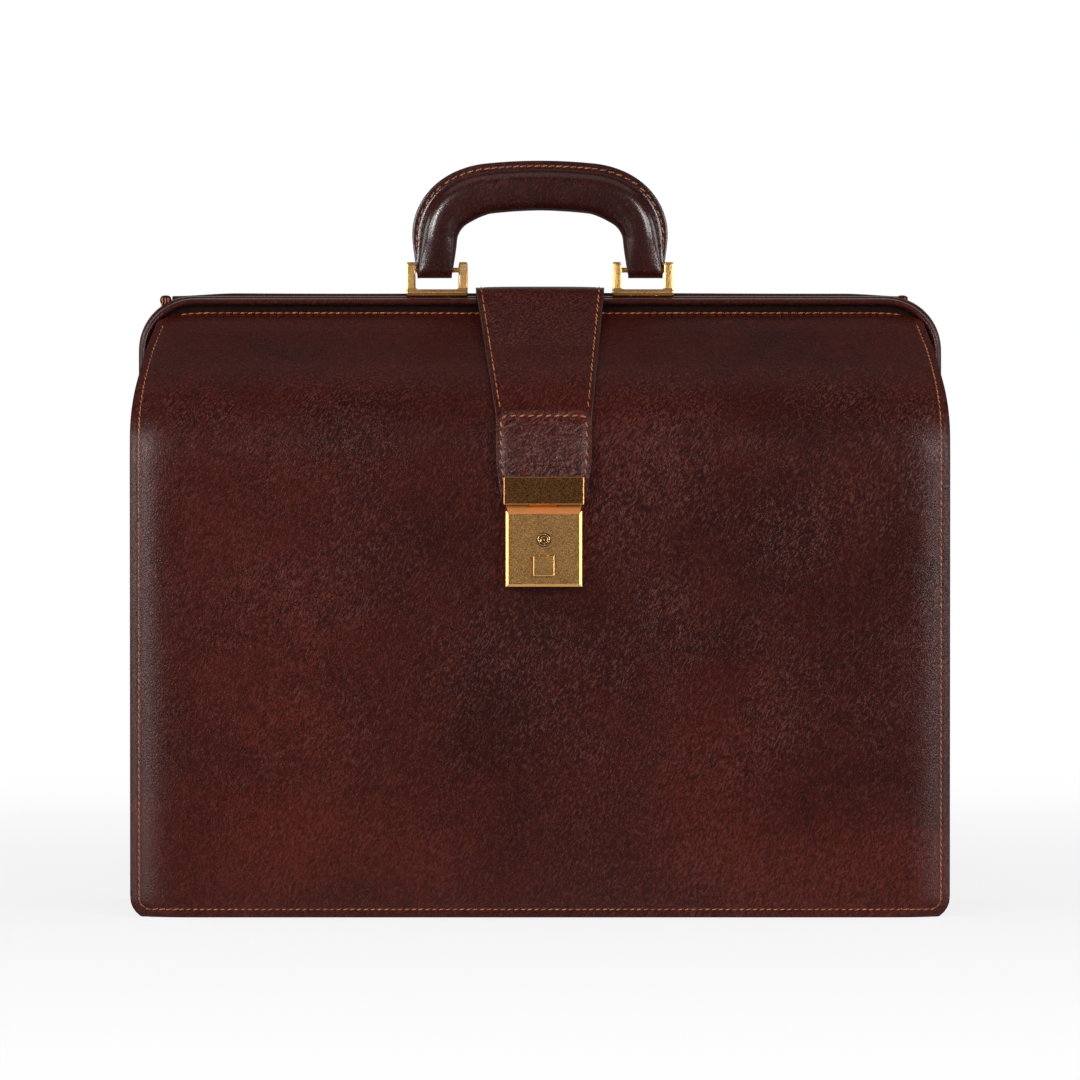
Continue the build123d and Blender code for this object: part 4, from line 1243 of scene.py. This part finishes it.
pad_columns = [-1, -0.96, -0.92, -0.885, -0.86, -0.82, -0.76, -0.66, -0.5, -0.25, 0]
pad_columns += [-column for column in pad_columns[-2::-1]]
pad_falls = [PAD_CORNER * (1 - math.cos(turn)) for turn in steps(0, math.pi / 2, 8)]
pad_falls += steps(PAD_CORNER, pad_drop, 20)[1:]
pad = hide_sheet(
    "strap_pad_leather", pad_columns, pad_falls[::-1], pad_place,
    PAD_T, (pad_leather, edge_paint, edge_paint), edge=0.0013, painted=True,
)
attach(pad, "strap")
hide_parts("strap_pad")
print(pad.name, round(pad_drop * 1000), "mm high")

# %% [markdown]
# The handle's arch. Seen from the front the handle rises from its pins, leans in through two
# bends and crosses in a flat crown. One circle or a spline through a few points misses the
# corners, so the line is three arcs, each starting at the lean where the last one ended.

# %% Handle's arch
pin_z = joints["handle_swing"]["pos_m"][2]
pin_y = joints["handle_swing"]["pos_m"][1]
LEG_X = 0.0550
# The arch's turns from leg to crown: radius, and the lean at which each ends
LEG_TURNS = ((0.0251, math.radians(61)), (0.0386, math.radians(84)))
LOOP_R = 0.0046
turn_z = pin_z + 0.0170  # where the arch starts to lean in


def grip_path():
    """Centre line of the left half, from under the pin to the crown, with its lean."""
    points = [(-LEG_X, z, 0.0) for z in steps(pin_z - LOOP_R, turn_z, 22)]
    x, z, lean = points[-1]
    reach, turned = LEG_X, 0.0
    for radius, end in LEG_TURNS:
        reach -= radius * (math.cos(turned) - math.cos(end))
        turned = end
    crown_r = reach / math.cos(turned)
    for radius, end in (*LEG_TURNS, (crown_r, math.pi / 2)):
        for angle in steps(lean, end, 11)[1:]:
            points.append((x + radius * (math.cos(lean) - math.cos(angle)),
                           z + radius * (math.sin(angle) - math.sin(lean)), angle))
        x, z, lean = points[-1]
    return points


half_path = grip_path()
grip_points = half_path + [(-x, z, -lean) for x, z, lean in half_path[-2::-1]]
print("crown at", round(half_path[-1][1] * 1000, 1), "mm")

# %% [markdown]
# Handle. A padded core is covered in leather whose edges meet along the outside of the arch,
# where they are sewn into a thin flange. Its ends flatten and close round the bracket pins. A
# bevelled curve keeps one section all the way, so the section is carried along the arch as a
# tube that changes as it goes: thicker inside the bends, flat and square at the loops.

# %% Handle
GRIP_HALF = 0.0121
LOOP_HALF = 0.0090
LOOP_RISE = 0.028  # how far above the pin the loop has become the grip
LOOP_SPREAD = 0.003  # and how far below it starts to
LOOP_HELD = 1.6  # above 1 the loop's flat shape gives way sooner
LOOP_ROUND = 0.10  # how far the corners of its square section are drawn in, as a share
DEEPER = 0.0030  # how much thicker the grip is inside its bends
DEEPER_LEAN, DEEPER_WIDE = 1.07, 0.73
BODY_HALF, BODY_MIDDLE, BODY_TALL = 0.80, -0.21, 0.79
FULLNESS = 0.85  # 1 would be an ellipse, less is squarer
# Half of the grip's section, in shares of its half height: across, and outwards. The flange
# comes first, then the padded body.
GRIP = [(0, 1.0), (0.10, 0.995), (0.13, 0.95), (0.135, 0.82), (0.14, 0.62)]
for turn in steps(math.radians(76), -math.pi / 2, 18):
    bulge = math.copysign(abs(math.sin(turn)) ** FULLNESS, turn)
    GRIP.append((BODY_HALF * abs(math.cos(turn)) ** FULLNESS, BODY_MIDDLE + BODY_TALL * bulge))


def grip_section(row):
    """Padded section over the arch, easing into the flat loop round the pin."""
    x, z, lean = grip_points[row]
    outwards = Vector((-math.cos(lean) if x < 0 else math.cos(lean), 0, abs(math.sin(lean))))
    if abs(x) < 1e-6:
        outwards = Vector((0, 0, 1))
    loop = min(max(1 - (z - pin_z + LOOP_SPREAD) / LOOP_RISE, 0), 1) ** LOOP_HELD
    deeper = DEEPER * bell(abs(lean) - DEEPER_LEAN, DEEPER_WIDE)
    depth = math.sqrt(max(LOOP_R**2 - min(z - pin_z, 0) ** 2, 0))
    made = []
    for across, out in [*GRIP] + [(-across, out) for across, out in GRIP[-2:0:-1]]:
        grip = Vector((across, out)) * GRIP_HALF
        grip.y *= 1 + (out < 0) * deeper / GRIP_HALF
        corner = 1 / max(abs(across) / BODY_HALF, abs(out))
        flat = Vector((across / BODY_HALF * corner * depth, out * corner * LOOP_HALF))
        soft = Vector((flat.x * (1 - LOOP_ROUND * abs(out * corner) ** 6), flat.y))
        section = grip.lerp(soft, loop)
        made.append(Vector((x, pin_y + section.x, z)) + outwards * section.y)
    return made


grip = tube("handle_cover", grip_points, grip_section, handle_leather)
modify(grip, "SUBSURF", levels=1, render_levels=1)
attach(grip, "handle")
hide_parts("handle_grip")
print(grip.name, len(grip_points), "sections of", 2 * len(GRIP) - 2, "points")

# %% [markdown]
# Lip. A thin strip stands up behind the back frame, wavy along its top and lower at its ends.
# A flat bar would draw a ruled line there, so it is a narrow sheet with its own top edge.

# %% Rear lip
lip_low, lip_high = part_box("rear_lip")
LIP_T = lip_high.y - lip_low.y
LIP_END = lip_high.x + 0.0042  # the ends lie under the nubs
LIP_WAVE = 0.0002
LIP_DROP, LIP_DROP_RUN = 0.0016, 0.034  # how much lower its ends are, and over what length


def lip_place(x, height):
    end = 1 - ease((LIP_END - abs(x)) / LIP_DROP_RUN)
    top = lip_high.z + LIP_WAVE * math.sin(26 * x + 1.0) - LIP_DROP * end
    return Vector((x, lip_high.y, lip_low.z + (top - lip_low.z) * height))


lip = hide_sheet(
    "rear_lip_leather", steps(LIP_END, -LIP_END, 90), steps(0, 1, 6), lip_place,
    LIP_T, (trim_leather, trim_leather, edge_paint), edge=0.0006,
)
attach(lip, "back_frame")
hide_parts("rear_lip")
print(lip.name, round(2 * LIP_END * 1000), "mm long")

# %% [markdown]
# Nubs. At each end of the lip a folded tab of leather is bound down with a few turns of
# thread. It is a small cube, rounded by a bevel and a subdivision until it looks squeezed,
# and the turns are thin rings sunk halfway into it.

# %% Nubs of the lip
NUB_SIZE = Vector((0.0062, 0.0050, 0.0052))
NUB_TURNS = (-0.30, -0.06, 0.18)  # where the thread goes round, in shares of its length
NUB_AT = {"left": -0.1953, "right": 0.1890}
TURN_WIRE = 0.00036
TURN_FORWARD, TURN_DOWN = 0.0007, 0.0011  # from the nub's middle
NUB_RISE = 0.0038  # above the middle of the roll
nub_z = roll_z["back"] + NUB_RISE
for name, nub_x in NUB_AT.items():
    deselect()
    bpy.ops.mesh.primitive_cube_add(size=1, location=(nub_x, roll_y, nub_z), scale=NUB_SIZE)
    nub = bpy.context.object
    nub.name = nub.data.name = f"{name}_lip_nub"
    bpy.ops.object.transform_apply(location=True, rotation=True, scale=True)
    modify(nub, "BEVEL", width=0.0019, segments=2)
    modify(nub, "SUBSURF", levels=2, render_levels=2)
    dress(nub, trim_leather)
    smooth(nub, 60)
    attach(nub, "back_frame")
    turns = []
    for share in NUB_TURNS:
        deselect()
        bpy.ops.mesh.primitive_torus_add(
            location=(nub_x + share * NUB_SIZE.x, roll_y - TURN_FORWARD, nub_z - TURN_DOWN),
            rotation=(0, math.pi / 2, 0.12),
            major_segments=28, minor_segments=8, major_radius=NUB_SIZE.z / 2 - 0.0001,
            minor_radius=TURN_WIRE,
        )
        bpy.ops.object.transform_apply(location=True, rotation=True, scale=True)
        turns.append(bpy.context.object)
    for turn in turns:
        turn.select_set(True)
    bpy.ops.object.join()
    bound = bpy.context.object
    bound.name = bound.data.name = f"{name}_nub_thread"
    dress(bound, orange_thread)
    smooth(bound, 60)
    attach(bound, "back_frame")
    print(nub.name, "with", len(turns), "turns of thread")

# %% [markdown]
# Brass. The construction has the right shapes but knife-sharp edges, and it is the edges that
# catch the light. Modelling the lock again would only repeat it. A copy of each brass node is
# merged, its flat faces are joined, and every edge is rounded a little, less on the small
# button, whose chamfers a wide bevel would swallow.


# %% Brass pieces
def soften(node, body, finish, width, name, segments=2, clamp=True):
    """A copy of a construction node with rounded edges."""
    source = frame["nodes"][node]
    piece = bpy.data.objects.new(name, source.data.copy())
    bpy.context.scene.collection.objects.link(piece)
    piece.data.name = name
    close_up(piece, 2e-6)
    modify(piece, "DECIMATE", decimate_type="DISSOLVE", angle_limit=math.radians(1))
    modify(piece, "BEVEL", width=width, segments=segments, limit_method="ANGLE",
           angle_limit=math.radians(28), use_clamp_overlap=clamp)
    dress(piece, finish)
    smooth(piece, 40)
    modify(piece, "WEIGHTED_NORMAL", keep_sharp=True)
    modify(piece, "TRIANGULATE", keep_custom_normals=True)
    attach(piece, body)
    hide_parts(node)
    print(piece.name, len(piece.data.polygons), "faces")


soften("lock_case", "bag", brass, 0.00022, "lock_shell")
soften("push_button", "button", brass, 0.00012, "lock_button", segments=1)
soften("hasp_plate", "strap", dark_brass, 0.00018, "hasp")
for name in ("left", "right"):
    soften(f"{name}_bracket", "back_frame", bevel_brass, 0.0008, f"{name}_handle_bracket", 1, False)

# %% [markdown]
# The lock's bevel. Above its flat face the case slopes back to a notch for the hasp's tongue,
# and it is polished there and redder than the face; the redder colour is a painted reflection
# of the leather pad and hasp above it. One material can't tell the slope from a rounded edge,
# so a thin plate with a notch lies on it.

# %% Lock's bevel
case_low, case_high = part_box("lock_case")
BEVEL_DROP = 0.0044
BEVEL_SIDE = 0.0011
NOTCH_HALF = 0.0074
NOTCH_DROP = 0.0013
PLATE_DROP = 0.0003  # how far below the case's top the plate ends
PLATE_SPREAD = 0.0009  # how much wider it is there, at each side
PLATE_T = 0.0006
PLATE_PROUD = 0.00002


def bevel_place(x, share):
    notched = abs(x - strap_x) < NOTCH_HALF
    if abs(x - strap_x) > NOTCH_HALF + 0.001:
        x += math.copysign(PLATE_SPREAD * share, x - strap_x)
    rise = share * (BEVEL_DROP - (NOTCH_DROP if notched else PLATE_DROP))
    return Vector((x, case_low.y + rise - PLATE_PROUD, case_high.z - BEVEL_DROP + rise))


bevel_xs = [case_low.x + BEVEL_SIDE, strap_x - NOTCH_HALF, strap_x - NOTCH_HALF + 1e-5]
bevel_xs += [2 * strap_x - x for x in bevel_xs[::-1]]
plate = shaped_grid("lock_bevel", bevel_xs, (0, 1), bevel_place)
modify(plate, "SOLIDIFY", thickness=PLATE_T, offset=-1)
dress(plate, pad_reflection_brass)
modify(plate, "BEVEL", width=0.00012, segments=2, limit_method="ANGLE", angle_limit=1.0)
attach(plate, "bag")
print(plate.name, len(plate.data.polygons), "faces")

# %% [markdown]
# The keyhole. The key goes over a post in a round tube, which turns the cam. Seen from the
# front that is two bright rings, each beside a groove. Each groove is a near-black ring of
# painted shade. They are thin rings sunk into the case's face, where cutting grooves would
# leave long thin faces.

# %% Keyhole rings
key_at = joints["cam_turn"]["pos_m"]


def ring(name, body, radius, wire, finish, y):
    """A raised ring round the key's axis."""
    deselect()
    bpy.ops.mesh.primitive_torus_add(
        location=(key_at[0], y, key_at[2]), rotation=(math.pi / 2, 0, 0), major_segments=40,
        minor_segments=10, major_radius=radius, minor_radius=wire,
    )
    piece = bpy.context.object
    piece.name = piece.data.name = name
    bpy.ops.object.transform_apply(location=True, rotation=True, scale=True)
    dress(piece, finish)
    smooth(piece, 60)
    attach(piece, body)


ring("keyhole_rim", "bag", 0.0029, 0.00038, bright_brass, case_low.y - 0.0001)
# Painted shade: these dark rings stand for the grooves beside the bright rings
ring("keyhole_groove_shade", "bag", 0.00355, 0.00016, shade_finish, case_low.y)
ring("key_tube", "cam", 0.0018, 0.00034, bright_brass, case_low.y - 0.0001)
ring("key_groove_shade", "cam", 0.00235, 0.0003, shade_finish, case_low.y + 0.0001)
print("keyhole at", round(key_at[2] * 1000, 1), "mm")

# %% [markdown]
# Plain pieces. The works of the lock, the frames' bars, the board and the handle's core keep
# the construction's own shapes, because they are hidden or already right. They only get
# their finishes.

# %% Finishes of the plain pieces
STEEL_NODES = ("front_frame_bar", "back_frame_bar", "left_hinge_rivet", "right_hinge_rivet",
               "lock_base", "latch_pin", "lock_backplate", "lock_rivets", "button_spring",
               "latch_lever")
BRASS_NODES = ("key_post", "left_handle_pin", "right_handle_pin", "hasp_rivets", "bracket_screws")
for node in STEEL_NODES:
    dress(frame["nodes"][node], steel)
for node in BRASS_NODES:
    dress(frame["nodes"][node], bevel_brass)
dress(frame["nodes"]["lock_cam"], dark_brass)
dress(frame["nodes"]["base_board"], board)
dress(frame["nodes"]["handle_core"], shade_finish)
print(len(STEEL_NODES) + len(BRASS_NODES) + 3, "pieces keep their shapes")

# %% [markdown]
# One stitch. It is a short length of thread that dips into the leather at both ends, with a
# dark disc beyond it, which is painted shade for the needle hole. Stitches painted in a
# material would be flat, and blur up close.
# So one is modelled, from a sphere with few faces, because there will be over a thousand.


# %% One stitch
def stitch_pattern():
    """Points and faces of one stitch along X, lying on Z = 0."""
    deselect()
    bpy.ops.mesh.primitive_uv_sphere_add(segments=8, ring_count=6, radius=0.5)
    piece = bpy.context.object
    bpy.ops.transform.rotate(value=math.pi / 2, orient_axis="Y", center_override=(0, 0, 0))
    bpy.ops.object.transform_apply(location=True, rotation=True, scale=True)
    points = np.array([point.co for point in piece.data.vertices])
    faces = [list(face.vertices) for face in piece.data.polygons]
    bpy.data.objects.remove(piece)
    return points, faces


thread_points, thread_faces = stitch_pattern()
hole_points = np.array([(math.cos(a), math.sin(a), 0.0) for a in np.arange(6) * math.pi / 3])
print("a stitch has", len(thread_faces) + 1, "faces")

# %% [markdown]
# A seam. Each stitch could be an object, but a thousand objects are slow to handle and each
# would have to bend. A seam is one mesh: the stitch is copied to evenly spaced places, turned
# with the leather that it lies on, slanted as by an awl and a little crooked.

# %% Sewing a seam
STITCH_L = 0.0031
STITCH_W = 0.00085
FINE = {"length": 0.0027, "width": 0.00075}  # the thinner thread round the front and back
STRAP_FINE = {"length": 0.0027, "width": 0.0007}
HOLE_SIZE = (0.00042, 0.00034, 0)
HOLE_GAP, HOLE_PROUD = 0.0003, 0.00004  # beyond the thread's end, and above the leather
UNEVEN = 0.05  # how far a stitch may turn from the others, in radians


def sew(name, places, length=STITCH_L, width=STITCH_W, slant=0.16):
    """Make one mesh of stitches; each place is a point, its normal and the seam's direction."""
    draw = random.Random(name)
    points, faces, kinds = [], [], []
    for centre, normal, along in places:
        turn = slant + draw.uniform(-UNEVEN, UNEVEN)
        side = normal.cross(along).normalized()
        ahead = (along * math.cos(turn) + side * math.sin(turn)).normalized()
        side = normal.cross(ahead)
        axes = np.array([ahead, side, normal])
        body = thread_points * (length, width, width * 0.9)
        body[:, 2] += 0.10 * width - 0.5 * width * (2 * body[:, 0] / length) ** 4
        start = len(points)
        points += list(body @ axes + centre)
        faces += [[start + corner for corner in face] for face in thread_faces]
        kinds += [0] * len(thread_faces)
        # Painted shade: a flat near-black disc stands for the needle hole
        hole = hole_points * HOLE_SIZE + (length * 0.5 + HOLE_GAP, 0, HOLE_PROUD)
        start = len(points)
        points += list(hole @ axes + centre)
        faces.append([start + corner for corner in range(6)])
        kinds.append(1)
    mesh = bpy.data.meshes.new(name)
    mesh.from_pydata([tuple(point) for point in points], [], faces)
    mesh.polygons.foreach_set("material_index", kinds)
    mesh.polygons.foreach_set("use_smooth", [True] * len(faces))
    seam = bpy.data.objects.new(name, mesh)
    bpy.context.scene.collection.objects.link(seam)
    dress(seam, orange_thread, shade_finish)
    print(name, len(places), "stitches")
    return seam


def even_stations(points, pitch):
    """Evenly spaced places along a polyline of 2-D points, with the direction there."""
    gaps = [(b - a).length for a, b in zip(points, points[1:])]
    total = sum(gaps)
    count = round(total / pitch)
    made, index, passed = [], 0, 0.0
    for number in range(count):
        target = (number + 0.5) * total / count
        while passed + gaps[index] < target:
            passed += gaps[index]
            index += 1
        start, end = points[index], points[index + 1]
        made.append((start.lerp(end, (target - passed) / gaps[index]), (end - start).normalized()))
    return made


# %% [markdown]
# Seams of the body. One runs round each sheet, down the sides and along the bottom, and one
# along its upper edge. Their lines are worked out from the sheet's own width and corners, so
# they stay the same distance from the raw edge, and they bend as the sheet does.

# %% Seams of the body
BODY_PITCH, TOP_PITCH = 0.0035, 0.0038
TOP_SEAM = 0.0026  # how far below the sheet's top edge its upper seam runs
TOP_SEAM_HALF = 0.187
BODY_SEAM_TOP = 0.012  # how far below that edge the side seams start


def seam_on_skin(side, line, pitch):
    """Places for stitches along a line of (x, run) points on a sheet."""
    places = []
    for spot, ahead in even_stations([Vector(point) for point in line], pitch):
        point = skin(side, spot.x, spot.y)
        further = skin(side, spot.x + ahead.x * 0.001, spot.y + ahead.y * 0.001)
        places.append((point, skin_normal(side, spot.x, spot.y), (further - point).normalized()))
    return places


def body_seam():
    """Down the left side, round the corner and to the middle of the bottom, in (x, run)."""
    runs = steps(top_run - BODY_SEAM_TOP, CORNER_R, 120)
    line = [(-(half_width(run) - SEAM), run) for run in runs]
    radius = CORNER_R - SEAM
    for angle in steps(0, math.pi / 2, 8)[1:]:
        line.append((-(half_w - CORNER_R + radius * math.cos(angle)),
                     CORNER_R - radius * math.sin(angle)))
    return line + [(0.0, SEAM)]


for side in ("front", "back"):
    half_line = body_seam()
    whole = half_line + [(-x, run) for x, run in half_line[-2::-1]]
    seam = sew(f"{side}_seam", seam_on_skin(side, whole, BODY_PITCH), **FINE)
    bend_with_frame(seam, side)
    top_line = [(x, top_run - TOP_SEAM) for x in steps(-TOP_SEAM_HALF, TOP_SEAM_HALF, 60)]
    top_seam = sew(f"{side}_top_seam", seam_on_skin(side, top_line, TOP_PITCH))
    bend_with_frame(top_seam, side)

# %% [markdown]
# Seams of the strap and pad. The strap's run along both edges and stop under the pad, whose
# own seam goes up one side, over the top and down the other. Like the strap itself its seam
# is two meshes, one for the sewn end and one for the rest.

# %% Seams of the strap and pad
STRAP_PITCH, PAD_PITCH = 0.0036, 0.0045
PAD_SEAM_FALL = 0.0450  # how far down the pad its seam starts


def strap_seam(sign, sewn_down):
    """Along one edge of the strap's sewn end, or from there to under the pad."""
    places = []
    line = [Vector((run, 0)) for run in strap_runs]
    for spot, _ in even_stations(line, STRAP_PITCH):
        row = min(max(int(np.searchsorted(strap_runs, spot.x)), 1), len(route) - 2)
        point, away = strap_point(row, STRAP_T - GROOVE)
        ahead = strap_point(row + 1, STRAP_T)[0] - strap_point(row - 1, STRAP_T)[0]
        if point.y < 0 and point.z < pad_top + 0.002 or (row <= anchor_rows) != sewn_down:
            continue
        centre, half = strap_size(point)
        point.x = centre + sign * (half - STRAP_SEAM)
        places.append((point, away, ahead.normalized()))
    return places


anchor_places = strap_seam(-1, True) + strap_seam(1, True)
bend_with_frame(sew("anchor_seam", anchor_places, **STRAP_FINE), "back")
strap_places = strap_seam(-1, False) + strap_seam(1, False)
strap_stitches = sew("strap_seam", strap_places, **STRAP_FINE)
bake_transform(strap_stitches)


def on_pad(spot):
    """Place on the pad at this distance across and down from its top."""
    return pad_place(spot.x / pad_half(spot.y), spot.y)


def pad_seam():
    """Up the pad's left side, over its top and down its right side."""
    falls = steps(PAD_SEAM_FALL, PAD_CORNER, 30)
    line = [Vector((-(pad_half(fall) - PAD_SEAM), fall)) for fall in falls]
    radius = PAD_CORNER - PAD_SEAM
    for angle in steps(0, math.pi / 2, 7)[1:]:
        line.append(Vector((-(PAD_HALF[0] - PAD_CORNER + radius * math.cos(angle)),
                            PAD_CORNER - radius * math.sin(angle))))
    line += [Vector((-point.x, point.y)) for point in line[::-1]]
    places = []
    for spot, ahead in even_stations(line, PAD_PITCH):
        point, further = on_pad(spot), on_pad(spot + ahead * 0.001)
        lean = profile(pad_low + pad_drop - spot.y)[2]
        normal = Vector((0, -math.cos(lean), math.sin(lean)))
        places.append((point, normal, (further - point).normalized()))
    return places


pad_stitches = sew("pad_seam", pad_seam(), length=0.0037, width=0.0010, slant=0.28)
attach(pad_stitches, "strap")

# %% [markdown]
# Seam of the handle. It holds the two edges of the cover together in the flange, so it shows
# on both faces, from just above one pin to just above the other.

# %% Seam of the handle
HANDLE_PITCH = 0.0036
HANDLE_SEAM_FROM = 0.010  # above the pins
FLANGE_MIDDLE, FLANGE_HALF = 0.76, 0.138  # in shares of the grip's half height


def handle_seam():
    """Both faces of the flange along the outside of the arch."""
    line = [Vector((x, z)) for x, z, _ in grip_points if z > pin_z + HANDLE_SEAM_FROM]
    places = []
    for spot, ahead in even_stations(line, HANDLE_PITCH):
        out = Vector((-ahead.y, ahead.x))
        spot = spot + out * GRIP_HALF * FLANGE_MIDDLE
        for face in (-1, 1):
            point = Vector((spot.x, pin_y + face * GRIP_HALF * FLANGE_HALF, spot.y))
            places.append((point, Vector((0, face, 0)), Vector((ahead.x, 0, ahead.y))))
    return places


handle_stitches = sew("handle_seam", handle_seam(), length=0.0026, width=0.0008)
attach(handle_stitches, "handle")

# %% Finish
deselect()
boxes = {"construction": construction_box, "model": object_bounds()}
sizes = {
    name: [[float(value) for value in corner] for corner in box] for name, box in boxes.items()
}
print("size", sizes)
